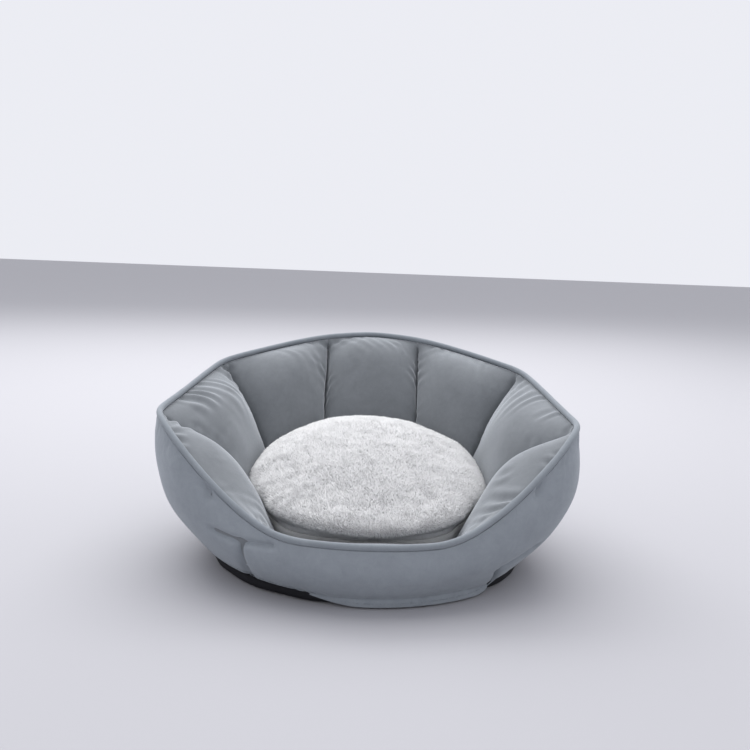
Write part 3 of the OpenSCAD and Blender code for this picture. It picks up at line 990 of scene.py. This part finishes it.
# %% Shells
SEAM_LEFT, SEAM_RIGHT = -37.0, 44.5
SEAM_GROOVE, GROOVE_WIDTH = 3.0, 3.2
GROOVE_TOP_LEFT, GROOVE_TOP_RIGHT = 66.0, 42.0
SIDE_MIDDLE, SIDE_WIDTH = 66, 24
SHARP_EDGE = math.radians(60)
TUCK_SHARE = 0.6


def column_at(azimuth):
    """The column nearest to an azimuth."""
    return int(np.abs(signed_azimuth(column_azimuth - azimuth)).argmin())


def folded_cover(points, azimuths):
    """Small gathers below the piping at the sides, and soft unevenness lower down."""
    fine = refined(points)
    down, across = along(fine, 0), along(fine, 1)
    wobble = noise_field(fine, 20, 5.1)
    a = signed_azimuth(azimuths)
    sides = np.exp(-(((np.abs(a) - SIDE_MIDDLE) / SIDE_WIDTH) ** 2))
    lift = folds(across, down, 9.0, 0.9, 20.0, wobble) * sides
    lift += 2.4 * noise_field(fine, 60, 1.7) * clamp01(down / 18.0)
    length = down[-1:, :]
    hem = folds(across, length - down, 12.0, 0.8, 14.0, wobble)
    lift = lift * clamp01((length - down) / 10.0) + hem
    beside = np.minimum(across, across[:, -1:] - across)
    seam_top = np.where(a < 0, GROOVE_TOP_LEFT, GROOVE_TOP_RIGHT)[None, :]
    low = clamp01((seam_top - fine[..., 2] / MM) / 6.0)
    lift -= SEAM_GROOVE * np.exp(-((beside / GROOVE_WIDTH) ** 2)) * low
    fine = fine + sheet_normals(fine) * (-lift * MM)[..., None]
    return dent(fine, azimuths[None, :] + 0 * down, fine[..., 2] / MM, TUCK_SHARE)[0]


def cover_piece(name, first, last):
    columns, azimuths = refined_columns(first, last)
    points = folded_cover(outer_points[:, columns], azimuths)
    rows, wide = points.shape[:2]
    shell = mesh_piece(name, points, grid_faces(rows, wide, False, flip=True))
    thicken(shell, CLOTH * MM, -1)
    shell.data.set_sharp_from_angle(angle=SHARP_EDGE)
    shell.data.materials.append(velvet)
    return shell


left_column, right_column = column_at(SEAM_LEFT) - COLUMNS, column_at(SEAM_RIGHT)
cover_front = cover_piece("cover_front", left_column, right_column)
cover_back = cover_piece("cover_back", right_column, left_column + COLUMNS)
print("cover faces:", len(cover_front.data.polygons), len(cover_back.data.polygons))

# %% [markdown]
# ## Piping
# A cord wrapped in a bias strip of the same velvet, with its tail sewn between the two
# sheets. One section is swept along the rim; its radius wanders a little, as hand-fed
# piping does.

# %% Piping
PIPING_STEPS = 560
PIPING_SIDES = 14
TAIL_LENGTH, TAIL_HALF = 11.0, 0.5


def piping_loops():
    azimuths = np.linspace(0, 360, PIPING_STEPS, endpoint=False)
    turns = [math.radians(a) for a in azimuths]
    uneven = [noise.noise(Vector((math.cos(a) * 9, math.sin(a) * 9, 3.1))) for a in turns]
    radius = PIPING_R * (1 + 0.07 * np.array(uneven))
    angles = np.radians(np.linspace(12, 348, PIPING_SIDES))
    loops = []
    for azimuth, r in zip(azimuths, radius):
        off, z = float(rim_offset(azimuth)), float(rim_height(azimuth))
        around = [(off + r * math.sin(a), z - r * math.cos(a)) for a in angles]
        tail = [(off - TAIL_HALF, z - TAIL_LENGTH), (off + TAIL_HALF, z - TAIL_LENGTH)]
        section = np.array(around + tail)
        loops.append(place(np.full(len(section), azimuth), section[:, 0], section[:, 1]))
    return np.array(loops)


loops = piping_loops()
rings, count = loops.shape[:2]
faces = []
for i in range(rings):
    here, ahead = i * count, (i + 1) % rings * count
    for j in range(count):
        k = (j + 1) % count
        faces.append((here + j, here + k, ahead + k, ahead + j))
loops = loops.reshape(-1, 3)
piping = mesh_piece("rim_piping", loops, closed_outwards(loops, faces))
finish_mesh(piping)
piping.data.materials.append(piping_velvet)
print("piping faces:", len(piping.data.polygons))


# %% [markdown]
# ## Base
# The black grip fabric is turned up round the base pad and meets the outer cover at the
# base's seam. It is slack at its edge, so its outline wanders by a millimetre or two.

# %% Round forms helper
def round_form(name, rings):
    """Closed form through rings of points, from the middle of one face to the other's."""
    rings = np.asarray(rings, float)
    count = rings.shape[1]
    faces = grid_faces(len(rings), count, True)
    points = np.concatenate([rings.reshape(-1, 3), [rings[0].mean(0)], [rings[-1].mean(0)]])
    first, last = len(points) - 2, len(points) - 1
    start = (len(rings) - 1) * count
    for j in range(count):
        k = (j + 1) % count
        faces += [(first, k, j), (last, start + j, start + k)]
    return mesh_piece(name, points, closed_outwards(points, faces))


DRAPE_ROOM, DRAPE_DEPTH = 4.0, 20


def oval_ring(inset, z, count=360, uneven=0.0, seed=0.0):
    """Ring that follows the base's outline, inset millimetres inside it.

    Its edge steps back where the cover's hem hangs over it."""
    ring = []
    for i in range(count):
        a = 2 * math.pi * i / count
        extra = uneven * noise.noise(Vector((math.sin(a) * 5, -math.cos(a) * 5, seed)))
        extra -= DRAPE_ROOM * float(drape(math.degrees(a))) if inset < DRAPE_DEPTH else 0.0
        x = (BASE_W / 2 - inset + extra) * math.sin(a)
        y = -(BASE_D / 2 - inset + extra) * math.cos(a)
        ring.append((x * MM, y * MM, z * MM))
    return ring


# %% Grip base
DOT_H = 0.6
grip_rings = [oval_ring(inset, DOT_H + 0.1) for inset in (170, 150, 120, 90, 60, 35, 18, 10)]
grip_rings += [
    oval_ring(3.5, DOT_H + 0.5, uneven=1.6, seed=1.0),
    oval_ring(0.5, 2.6, uneven=2.0, seed=1.3),
    oval_ring(-1.6, 6.0, uneven=2.0, seed=1.6),
    oval_ring(-2.0, 10.5, uneven=1.4, seed=1.9),
    oval_ring(-0.6, BASE_H + 2.5, uneven=0.4, seed=2.1),
    oval_ring(3.0, BASE_H + 2.6),
]
grip_rings += [oval_ring(inset, BASE_H + 0.3) for inset in (12, 40, 90, 150)]
grip_base = finish_mesh(round_form("grip_base", grip_rings), 0)
grip_base.data.materials.append(grip_fabric)

# %% Base pad and nest floor
pad_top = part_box("base_pad")[1].z / MM
pad_rings = [oval_ring(inset, BASE_H + 1.2) for inset in (170, 120, 70, 30, 14)]
pad_rings += [oval_ring(8.5, BASE_H + 3), oval_ring(6.5, BASE_H + 8), oval_ring(7.5, pad_top - 3)]
pad_rings += [oval_ring(inset, pad_top - 0.4) for inset in (14, 30, 70, 120, 170)]
base_pad = finish_mesh(round_form("base_wadding", pad_rings), 0)
base_pad.data.materials.append(fibre_fill)


FLOOR_PATCH = 26.0


def floor_ring(radius, z, uneven, count=180):
    """Round ring of the nest's floor, with its height a little uneven."""
    ring = []
    for i in range(count):
        a = 2 * math.pi * i / count
        x, y = radius * math.sin(a), NEST_Y - radius * math.cos(a)
        lift = uneven * noise.noise(Vector((x / FLOOR_PATCH, y / FLOOR_PATCH, 5.0)))
        ring.append((x * MM, y * MM, (z + lift) * MM))
    return ring


NEST_FLOOR_R = 149.0
floor_under, floor_top = floor_low.z / MM, floor_high.z / MM - 0.25
floor_radii = list(np.linspace(6, NEST_FLOOR_R - 1, 26))
floor_rings = [floor_ring(r, floor_under + 0.2, 0.0) for r in floor_radii]
floor_rings += [floor_ring(NEST_FLOOR_R, (floor_under + floor_top) / 2, 0.0)]
floor_rings += [floor_ring(r, floor_top - 0.1, 0.35) for r in floor_radii[::-1]]
nest_floor = finish_mesh(round_form("nest_floor", floor_rings), 0)
nest_floor.data.materials.append(velvet_lining)
print("base pieces:", [len(p.data.polygons) for p in (grip_base, base_pad, nest_floor)])


# %% [markdown]
# ## Cushion
# The loose cushion is a dome of white plush over a plain underside. It fills the nest, so
# its outline is measured on the swollen pockets: in each direction it reaches their
# nearest point, less a little clearance for lifting it out. A second outline, measured
# higher up, lets its edge spread over the low front of the wall.

# %% Room for the cushion
CLEARANCE = 1.0
CUSHION_R_MOST = 152.0
SEAM_H = 84.0
TILT = math.radians(8.0)
DOME_H = 54.0
FRONT_LIP, LIP_WIDTH, LIP_ABOVE = 15.0, 56.0, 17.0
SEAM_ROOM = 14.0
BACK_RISE = 20.0
EDGE_H = 16.0
EDGE_FRONT = 20.0


def room_round(below):
    """Distance from the nest's middle to the pockets, for every degree, from below the edge seam up."""
    points = np.concatenate([panel.reshape(-1, 3) for panel in panels]) / MM
    edge_z = SEAM_H + (points[:, 1] - NEST_Y) * math.tan(TILT)
    points = points[points[:, 2] > edge_z - below]
    angle = np.mod(np.degrees(np.arctan2(points[:, 0], -(points[:, 1] - NEST_Y))), 360)
    reach = np.hypot(points[:, 0], points[:, 1] - NEST_Y)
    room = np.full(360, 999.0)
    np.minimum.at(room, angle.astype(int) % 360, reach)
    return np.minimum.reduce([np.roll(room, k) for k in (-1, 0, 1)])


def blurred(values, width):
    kernel = np.exp(-0.5 * (np.arange(-3 * width, 3 * width + 1) / width) ** 2)
    kernel /= kernel.sum()
    return np.convolve(np.concatenate([values, values, values]), kernel, "same")[360:720]


room = room_round(SEAM_ROOM)
outline = np.minimum(blurred(np.minimum(room, CUSHION_R_MOST), 3), room) - CLEARANCE
outline = np.minimum(outline, CUSHION_R_MOST)
from_front = np.minimum(np.arange(360), 360 - np.arange(360))
reach_most = CUSHION_R_MOST + FRONT_LIP * np.exp(-((from_front / LIP_WIDTH) ** 4))
room_above = np.minimum(room_round(-LIP_ABOVE), reach_most)
overhang = np.maximum(np.minimum(blurred(room_above, 4), room_above) - CLEARANCE, outline)
print("room round the cushion, mm:", round(float(room.min()), 1), "to", round(float(outline.max()), 1))


# %% Cushion surface
AROUND_CUSHION = 240
SPREAD_FROM, SPREAD_RUN = 2.0, 9.0


def tilted(x, y, z):
    """A point of the upright cushion turned about its middle, so its back rises."""
    return (
        x * MM,
        (NEST_Y + y * math.cos(TILT) - z * math.sin(TILT)) * MM,
        (SEAM_H + y * math.sin(TILT) + z * math.cos(TILT)) * MM,
    )


def reach_at(line, a):
    """Length of an outline, given for every degree, in the direction of an angle."""
    return np.interp(math.degrees(a), np.arange(361), np.append(line, line[0]))


def cushion_ring(share, heights, lumps=0.0, shrink=0.0):
    """Ring of the cushion at a share of its outline, with its heights above the edge seam.

    Just above the seam it spreads out over the low front of the wall."""
    spread = ease(clamp01((np.asarray(heights) - SPREAD_FROM) / SPREAD_RUN))
    ring = []
    for i, height in enumerate(heights):
        a = 2 * math.pi * i / AROUND_CUSHION
        edge = mix(reach_at(outline, a), reach_at(overhang, a), float(spread[i])) - shrink
        x, y = edge * share * math.sin(a), -edge * share * math.cos(a)
        broad = noise.noise(Vector((x / 45, y / 45, 7.7)))
        small = noise.noise(Vector((x / 13, y / 13, 2.2)))
        lift = lumps * (broad + 0.7 * small)
        ring.append(tilted(x, y, height + lift))
    return ring


PILE_H, DOME_LUMPS = 5.0, 2.0


def dome_rings(shrink, lumps):
    """From the edge seam up to the crown: a short upright edge, then a broad dome.

    The dome is gentle towards the front and fuller towards the back."""
    rings = []
    angles = np.radians(np.arange(AROUND_CUSHION) * 360 / AROUND_CUSHION)
    backness = (1 - np.cos(angles)) / 2
    fuller = mix(2.3, 3.3, backness)
    edge_h = mix(EDGE_FRONT, EDGE_H, backness**0.6)
    for step in np.linspace(0, 1, 34)[:-1]:
        share = math.cos(step * math.pi / 2) ** 0.7
        edge = edge_h * (1 - share**24) ** 0.42
        rise = edge + (DOME_H - edge_h) * (1 - share**fuller) ** 0.95
        rise = rise - BACK_RISE * share * (1 - share**4) * np.cos(angles)
        lowered = rise * (1 - shrink / DOME_H)
        rings.append(cushion_ring(share, lowered, lumps * min(1, step * 3), shrink))
    return rings


GUTTER_W, GUTTER_H = 32.0, 24.0
GUTTER_L = (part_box("zip_tapes")[1].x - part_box("zip_tapes")[0].x) / MM + 10


def bowl_point(share, drop, edge, a, inset):
    """Underside point, flattened on the floor and pushed up where the zip's recess is."""
    x, y, z = tilted((edge - inset) * share * math.sin(a), -(edge - inset) * share * math.cos(a), -drop)
    x, y, z = x / MM, y / MM, z / MM
    z = max(z, FLOOR_Z + inset + 0.3)
    inside = min(GUTTER_L / 2 - abs(x), GUTTER_W / 2 - abs(y - NEST_Y)) + 3.0 + inset
    roof = FLOOR_Z + GUTTER_H + inset
    if inside > 0 and z < roof:
        z = mix(z, roof, float(ease(clamp01(inside / 4.0))))
    return (x * MM, y * MM, z * MM)


def bowl_rings(inset):
    """From the middle of the underside out to the edge seam."""
    rings = []
    shares = list(np.linspace(0.01, 0.86, 60))
    shares += [math.cos(u) ** (2 / 3) for u in np.linspace(0.62, 0.02, 14)]
    for share in shares:
        u = math.acos(min(1.0, share**1.5))
        drop = (SEAM_H - inset) * math.sin(u) ** (2 / 3)
        ring = []
        for i in range(AROUND_CUSHION):
            a = 2 * math.pi * i / AROUND_CUSHION
            edge = float(reach_at(outline, a))
            ring.append(bowl_point(share, drop, edge, a, inset))
        rings.append(ring)
    return rings


# %% Underside of the cushion
under_rings = bowl_rings(0.0) + bowl_rings(CLOTH)[::-1]
cushion_underside = finish_mesh(round_form("underside_cloth", under_rings), 0)
cushion_underside.data.materials.append(plain_cloth)
bowl = np.array(bowl_rings(0.0))

# %% Plush cushion
body_rings = bowl_rings(CLOTH + 0.4)[:-1] + dome_rings(PILE_H, DOME_LUMPS)
cushion = finish_mesh(round_form("plush_cushion", body_rings), 0)
cushion.data.materials.append(plush)
print("cushion faces:", len(cushion.data.polygons))


# %% [markdown]
# ### Pile
# The plush is made by Geometry Nodes: points are scattered over the dome, and a slim
# three-sided tuft stands on each. A low noise leans neighbouring tufts the same way, so
# the pile lies in swirls, and a finer one ruffles them.

# %% Node-tree helpers for Geometry Nodes
def geometry_tree(name, inputs):
    """Tree that takes a mesh and named sizes, and gives a mesh."""
    tree = bpy.data.node_groups.new(name, "GeometryNodeTree")
    tree.is_modifier = True
    tree.interface.new_socket("Geometry", in_out="INPUT", socket_type="NodeSocketGeometry")
    for key, (kind, value) in inputs.items():
        socket = tree.interface.new_socket(key, in_out="INPUT", socket_type=kind)
        if value is not None:
            socket.default_value = value
    tree.interface.new_socket("Geometry", in_out="OUTPUT", socket_type="NodeSocketGeometry")
    start, end = tree.nodes.new("NodeGroupInput"), tree.nodes.new("NodeGroupOutput")
    return tree, start, end


def close_tree(tree, start, end, geometry):
    """Ends a tree with real geometry in the material that it was given."""
    real = add(tree, "GeometryNodeRealizeInstances", {"Geometry": geometry})
    done = add(tree, "GeometryNodeSetMaterial", {
        "Geometry": real.outputs[0], "Material": start.outputs["Material"]})
    tree.links.new(done.outputs[0], end.inputs[0])
    return tree


def run_tree(piece, tree, values):
    """Puts the tree on the piece, sets its inputs by identifier and keeps the plain result."""
    modifier = piece.modifiers.new(tree.name, "NODES")
    modifier.node_group = tree
    for item in tree.interface.items_tree:
        if item.item_type == "SOCKET" and item.in_out == "INPUT" and item.name in values:
            modifier[item.identifier] = values[item.name]
    return finish_mesh(piece, 0)


# %% Pile tree
def pile_tree():
    tree, start, end = geometry_tree("pile", {
        "Density": ("NodeSocketFloat", 800000.0),
        "Length": ("NodeSocketFloat", 0.006),
        "Width": ("NodeSocketFloat", 0.0009),
        "Lean": ("NodeSocketFloat", 1.1),
        "Seed": ("NodeSocketInt", 4),
        "Material": ("NodeSocketMaterial", None),
    })
    points = add(tree, "GeometryNodeDistributePointsOnFaces", {
        "Mesh": start.outputs["Geometry"], "Density": start.outputs["Density"],
        "Seed": start.outputs["Seed"]})
    tuft = add(tree, "GeometryNodeMeshCone", {
        "Vertices": 3, "Radius Bottom": start.outputs["Width"], "Depth": start.outputs["Length"],
    }, fill_type="NONE")
    where = add(tree, "GeometryNodeInputPosition").outputs[0]
    swirl = add(tree, "ShaderNodeTexNoise", {"Vector": where, "Scale": 60.0, "Detail": 1.0})
    ruffle = add(tree, "ShaderNodeTexNoise", {"Vector": where, "Scale": 420.0, "Detail": 1.0})
    half = (0.5, 0.5, 0.5)
    ways = []
    for texture, strength in ((swirl, 1.5), (ruffle, 2.2)):
        centred = vectors(tree, "SUBTRACT", {0: texture.outputs["Color"], 1: half})
        ways.append(vectors(tree, "SCALE", {0: centred, "Scale": strength}))
    lean = vectors(tree, "ADD", {0: ways[0], 1: ways[1]})
    lean = vectors(tree, "SCALE", {0: lean, "Scale": start.outputs["Lean"]})
    way = vectors(tree, "ADD", {0: points.outputs["Normal"], 1: lean})
    turn = add(tree, "FunctionNodeAlignRotationToVector", {"Vector": way}, axis="Z")
    size = add(tree, "FunctionNodeRandomValue", {2: 0.65, 3: 1.25, "Seed": 9}, data_type="FLOAT")
    stand = add(tree, "GeometryNodeInstanceOnPoints", {
        "Points": points.outputs["Points"], "Instance": tuft.outputs["Mesh"],
        "Rotation": turn.outputs["Rotation"], "Scale": size.outputs[1]})
    both = add(tree, "GeometryNodeJoinGeometry")
    tree.links.new(stand.outputs[0], both.inputs[0])
    tree.links.new(start.outputs["Geometry"], both.inputs[0])
    return close_tree(tree, start, end, both.outputs[0])


# %% Grow the pile on the dome only
def dome_patch():
    """Copy of the dome's upper faces, which the pile grows on."""
    rings = np.array(dome_rings(PILE_H, DOME_LUMPS))
    count = rings.shape[1]
    faces = grid_faces(len(rings), count, True)
    start = (len(rings) - 1) * count
    points = np.concatenate([rings.reshape(-1, 3), [rings[-1].mean(0)]])
    faces += [(len(points) - 1, start + j, start + (j + 1) % count) for j in range(count)]
    return mesh_piece("pile", points, faces)


pile = run_tree(dome_patch(), pile_tree(), {
    "Density": 1000000.0, "Length": 0.0040, "Width": 0.0009, "Lean": 0.5, "Seed": 4, "Material": plush})
print("pile triangles:", len(pile.data.polygons))

# %% [markdown]
# ## Zip, stitches and grip dots
# These repeat along a line or over the base, so they too are made by Geometry Nodes. One
# tree lays stitches along any path, one stands zip teeth in a row and one sets a rubber
# dot on every point that it is given.

# %% Zip tapes
tape_low, tape_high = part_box("zip_tapes")
tooth_low, tooth_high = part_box("zip_teeth")
CHAIN_Z = (tooth_low.z + tooth_high.z) / 2
TAPE_T = tape_high.z - tape_low.z
TAPE_ROWS, TAPE_COLUMNS, TAPE_WAVE = 8, 90, 0.0005


def zip_tape(side):
    """Strip of woven tape beside the teeth, with its outer edge a little wavy."""
    inner = (tooth_high.y if side > 0 else tooth_low.y) + side * 0.0001
    outer = tape_high.y if side > 0 else tape_low.y
    along_x = np.linspace(tape_low.x, tape_high.x, TAPE_COLUMNS)
    across_y = np.linspace(inner, outer, TAPE_ROWS)
    points = np.zeros((TAPE_ROWS, TAPE_COLUMNS, 3))
    points[..., 0], points[..., 1] = along_x[None, :], across_y[:, None]
    lift = [
        [noise.noise(Vector((x * 60, side * 3 + k, 1.0))) for x in along_x]
        for k in range(TAPE_ROWS)
    ]
    outwards = (np.arange(TAPE_ROWS) / (TAPE_ROWS - 1))[:, None]
    points[..., 2] = CHAIN_Z + TAPE_WAVE * np.array(lift) * outwards
    return points.reshape(-1, 3)


tape_faces = grid_faces(TAPE_ROWS, TAPE_COLUMNS, False)
strips = [zip_tape(-1), zip_tape(1)]
both_faces = [f[::-1] for f in tape_faces]
both_faces += [tuple(k + len(strips[0]) for k in f) for f in tape_faces]
zip_tapes = mesh_piece("zip_tape_strips", np.concatenate(strips), both_faces)
thicken(zip_tapes, TAPE_T, 0)
zip_tapes.data.materials.append(plain_cloth)
print("tapes, mm:", [round(v / MM, 1) for v in (tape_low.x, tape_high.x)])


# %% Teeth tree
def teeth_tree():
    tree, start, end = geometry_tree("zip_row", {
        "Length": ("NodeSocketFloat", 0.16),
        "Pitch": ("NodeSocketFloat", 0.0017),
        "Side": ("NodeSocketFloat", 0.00235),
        "Material": ("NodeSocketMaterial", None),
    })
    count = maths(tree, "DIVIDE", start.outputs["Length"], start.outputs["Pitch"])
    half = maths(tree, "MULTIPLY", start.outputs["Length"], -0.5)
    shank = add(tree, "GeometryNodeMeshCube", {"Size": (0.0007, 0.003, 0.0014)})
    head = add(tree, "GeometryNodeMeshCube", {"Size": (0.0011, 0.0011, 0.0022)})
    rows = add(tree, "GeometryNodeJoinGeometry")
    for side in (-1, 1):
        reach = add(tree, "GeometryNodeTransform", {
            "Geometry": head.outputs["Mesh"], "Translation": (0.0, -side * 0.001, 0.0)})
        tooth = add(tree, "GeometryNodeJoinGeometry")
        tree.links.new(shank.outputs["Mesh"], tooth.inputs[0])
        tree.links.new(reach.outputs[0], tooth.inputs[0])
        stagger = maths(tree, "MULTIPLY", start.outputs["Pitch"], 0.25 * (1 + side))
        first = maths(tree, "ADD", half, stagger)
        place_y = maths(tree, "MULTIPLY", start.outputs["Side"], float(side))
        begin = add(tree, "ShaderNodeCombineXYZ", {"X": first, "Y": place_y}).outputs[0]
        step = add(tree, "ShaderNodeCombineXYZ", {"X": start.outputs["Pitch"]}).outputs[0]
        line = add(tree, "GeometryNodeMeshLine", {
            "Count": count, "Start Location": begin, "Offset": step})
        row = add(tree, "GeometryNodeInstanceOnPoints", {
            "Points": line.outputs[0], "Instance": tooth.outputs[0]})
        tree.links.new(row.outputs[0], rows.inputs[0])
    where = add(tree, "GeometryNodeTransform", {
        "Geometry": rows.outputs[0],
        "Translation": (0.0, (tooth_low.y + tooth_high.y) / 2, CHAIN_Z)})
    return close_tree(tree, start, end, where.outputs[0])


seed_point = [(0, 0, 0)]
zip_teeth = run_tree(mesh_piece("zip_tooth_rows", seed_point, []), teeth_tree(), {
    "Length": tooth_high.x - tooth_low.x, "Pitch": 0.0017, "Side": 0.00235, "Material": zip_plastic})
zip_teeth.data.shade_flat()
print("teeth faces:", len(zip_teeth.data.polygons))


# %% Stitch tree
def stitch_tree():
    """Short thread humps along every path of the piece."""
    tree, start, end = geometry_tree("stitches", {
        "Spacing": ("NodeSocketFloat", 0.004),
        "Stitch": ("NodeSocketFloat", 0.0026),
        "Thread": ("NodeSocketFloat", 0.00035),
        "Material": ("NodeSocketMaterial", None),
    })
    path = add(tree, "GeometryNodeMeshToCurve", {"Mesh": start.outputs["Geometry"]})
    points = add(tree, "GeometryNodeCurveToPoints", {
        "Curve": path.outputs[0], "Length": start.outputs["Spacing"]}, mode="LENGTH")
    thread = add(tree, "GeometryNodeMeshUVSphere", {"Segments": 6, "Rings": 4, "Radius": 1.0})
    half = maths(tree, "MULTIPLY", start.outputs["Stitch"], 0.5)
    size = add(tree, "ShaderNodeCombineXYZ", {
        "X": start.outputs["Thread"], "Y": start.outputs["Thread"], "Z": half})
    stand = add(tree, "GeometryNodeInstanceOnPoints", {
        "Points": points.outputs["Points"], "Instance": thread.outputs["Mesh"],
        "Rotation": points.outputs["Rotation"], "Scale": size.outputs[0]})
    return close_tree(tree, start, end, stand.outputs[0])


def path_piece(name, paths):
    """Piece of edges only, one chain for each path."""
    mesh = bpy.data.meshes.new(name)
    points, edges = [], []
    for path in paths:
        edges += [(len(points) + k, len(points) + k + 1) for k in range(len(path) - 1)]
        points += [tuple(p) for p in path]
    mesh.from_pydata(points, edges, [])
    piece = bpy.data.objects.new(name, mesh)
    scene.collection.objects.link(piece)
    return piece


stitches = stitch_tree()
tape_paths = []
for side, edge in ((-1, tape_low.y), (1, tape_high.y)):
    for back in (0.0018, 0.0035):
        y, z = edge - side * back, CHAIN_Z - TAPE_T / 2 - 0.0004
        tape_paths.append([(x, y, z) for x in np.linspace(tape_low.x, tape_high.x, 80)])
zip_stitches = run_tree(path_piece("zip_stitches", tape_paths), stitches, {
    "Spacing": 0.0034, "Stitch": 0.0026, "Thread": 0.0003, "Material": sewing_thread})
print("zip stitch faces:", len(zip_stitches.data.polygons))

# %% [markdown]
# The outer cover is hemmed to the base. Its stitches lie a few millimetres above the edge,
# in thread of the velvet's own colour.

# %% Hem stitches
HEM_BACK = 3
HEM_THREAD_OUT = 0.0002


def hem_path():
    """Path just outside the outer cover's last rows."""
    row = outer_points[-HEM_BACK]
    path = row + level_direction(row) * HEM_THREAD_OUT
    return np.concatenate([path, path[:1]])


hem_stitches = run_tree(path_piece("hem_stitches", [hem_path()]), stitches, {
    "Spacing": 0.0042, "Stitch": 0.0032, "Thread": 0.00045, "Material": piping_velvet})


# %% Dot tree
def dot_tree():
    tree, start, end = geometry_tree("dots", {
        "Radius": ("NodeSocketFloat", 0.0014),
        "Material": ("NodeSocketMaterial", None),
    })
    dot = add(tree, "GeometryNodeMeshUVSphere", {
        "Segments": 8, "Rings": 4, "Radius": start.outputs["Radius"]})
    stand = add(tree, "GeometryNodeInstanceOnPoints", {
        "Points": start.outputs["Geometry"], "Instance": dot.outputs["Mesh"]})
    return close_tree(tree, start, end, stand.outputs[0])


DOT_R, DOT_PITCH = 1.4, 11.0


def dot_points():
    """A diamond grid over the underside."""
    points = []
    for row in range(-17, 18):
        for column in range(-18, 19):
            x = (column + 0.5 * (row % 2)) * DOT_PITCH
            y = row * DOT_PITCH * 0.87
            if (x / (BASE_W / 2 - 9)) ** 2 + (y / (BASE_D / 2 - 9)) ** 2 < 1:
                points.append((x * MM, y * MM, DOT_R * MM))
    return points


grip_dots = run_tree(mesh_piece("grip_dots", dot_points(), []), dot_tree(), {
    "Radius": DOT_R * MM, "Material": grip_dot})
print("dots faces:", len(grip_dots.data.polygons))

# %% [markdown]
# ## Bodies and replaced parts
# Each piece rides on the CAD body that it belongs to, and stands for the plain CAD solids
# that it covers.

# %% Ride and replace
for pillow, (name, *_rest) in zip(pillows, pockets):
    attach(pillow, "bed")
    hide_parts("lining_" + name, "fill_" + name)
# Piece, its body, the CAD nodes that it stands for, its slot and how full it is stuffed.
dressed = [
    (cover_front, "bed", ["outer_cover_front"], "velvet", None),
    (cover_back, "bed", ["outer_cover_back", "pocket_dividers"], "velvet", None),
    (piping, "bed", ["piping_cover", "piping_cord"], "piping", None),
    (grip_base, "bed", ["base_bottom"], "grip_fabric", None),
    (base_pad, "bed", ["base_pad"], "fibre_fill", 0.5),
    (nest_floor, "bed", ["base_lining"], "velvet_lining", None),
    (cushion, "cushion", ["cushion_plush", "cushion_fill"], "plush", 0.8),
    (pile, "cushion", [], "plush", None),
    (zip_tapes, "cushion", ["zip_tapes"], "plain_cloth", None),
    (zip_teeth, "cushion", ["zip_teeth"], "zip_plastic", None),
    (zip_stitches, "cushion", [], "plain_cloth", None),
    (hem_stitches, "bed", [], "piping", None),
    (grip_dots, "bed", [], "grip_fabric", None),
    (cushion_underside, "cushion", ["cushion_underside"], "plain_cloth", None),
]
for piece, body, nodes, slot, fill in dressed:
    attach(piece, body)
    if nodes:
        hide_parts(*nodes)
print("pieces:", len(pillows) + len(dressed))

# %% [markdown]
# ### Sheets
# The two covers, the nest's floor, the cushion's underside and the zip's tapes are sheets of cloth.


# %% [markdown]
# ## Carried-over hardware
# The zip's slider, pull and stops are hard and already right in the CAD, so they keep
# their shape and only get a metal finish.

# %% Zip finishes
for node in ("zip_slider", "zip_pull", "zip_stops"):
    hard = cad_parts[node]
    hard.data.materials.clear()
    hard.data.materials.append(zip_metal)

# %% [markdown]
# ## Floor and light
# A pale floor and two large soft lights, as beside a wide window: most of the light comes
# from above and behind, and the pale world keeps the front from going dark.

# %% Floor
floor_material, _, floor_shader = new_material("floor")
dress(floor_shader, {"Base Color": (0.44, 0.437, 0.46, 1), "Roughness": 0.9})
FLOOR_SIZE = 6.0
corners = [(x * FLOOR_SIZE, y * FLOOR_SIZE, 0) for x, y in ((-1, -1), (1, -1), (1, 1), (-1, 1))]
floor = mesh_piece("floor", corners, [(0, 1, 2, 3)], False)
floor.data.materials.append(floor_material)

# %% Light
world = bpy.data.worlds.new("world")
scene.world = world
world.use_nodes = True
dress(world.node_tree.nodes["Background"], {"Color": (0.93, 0.94, 1.0, 1), "Strength": 0.9})


LIT_POINT = Vector((0, 0, 0.1))


def soft_light(name, where, size, power):
    """Large flat light that faces the bed."""
    data = bpy.data.lights.new(name, "AREA")
    data.shape = "RECTANGLE"
    data.size, data.size_y = size
    data.energy = power
    lamp = bpy.data.objects.new(name, data)
    scene.collection.objects.link(lamp)
    lamp.location = where
    lamp.rotation_mode = "QUATERNION"
    lamp.rotation_quaternion = (LIT_POINT - Vector(where)).to_track_quat("-Z", "Y")


soft_light("window", (-0.3, 1.6, 1.6), (3.0, 1.8), 31)
soft_light("ceiling", (-0.1, 0.6, 2.0), (2.8, 2.0), 32)
scene.view_settings.view_transform = "Standard"
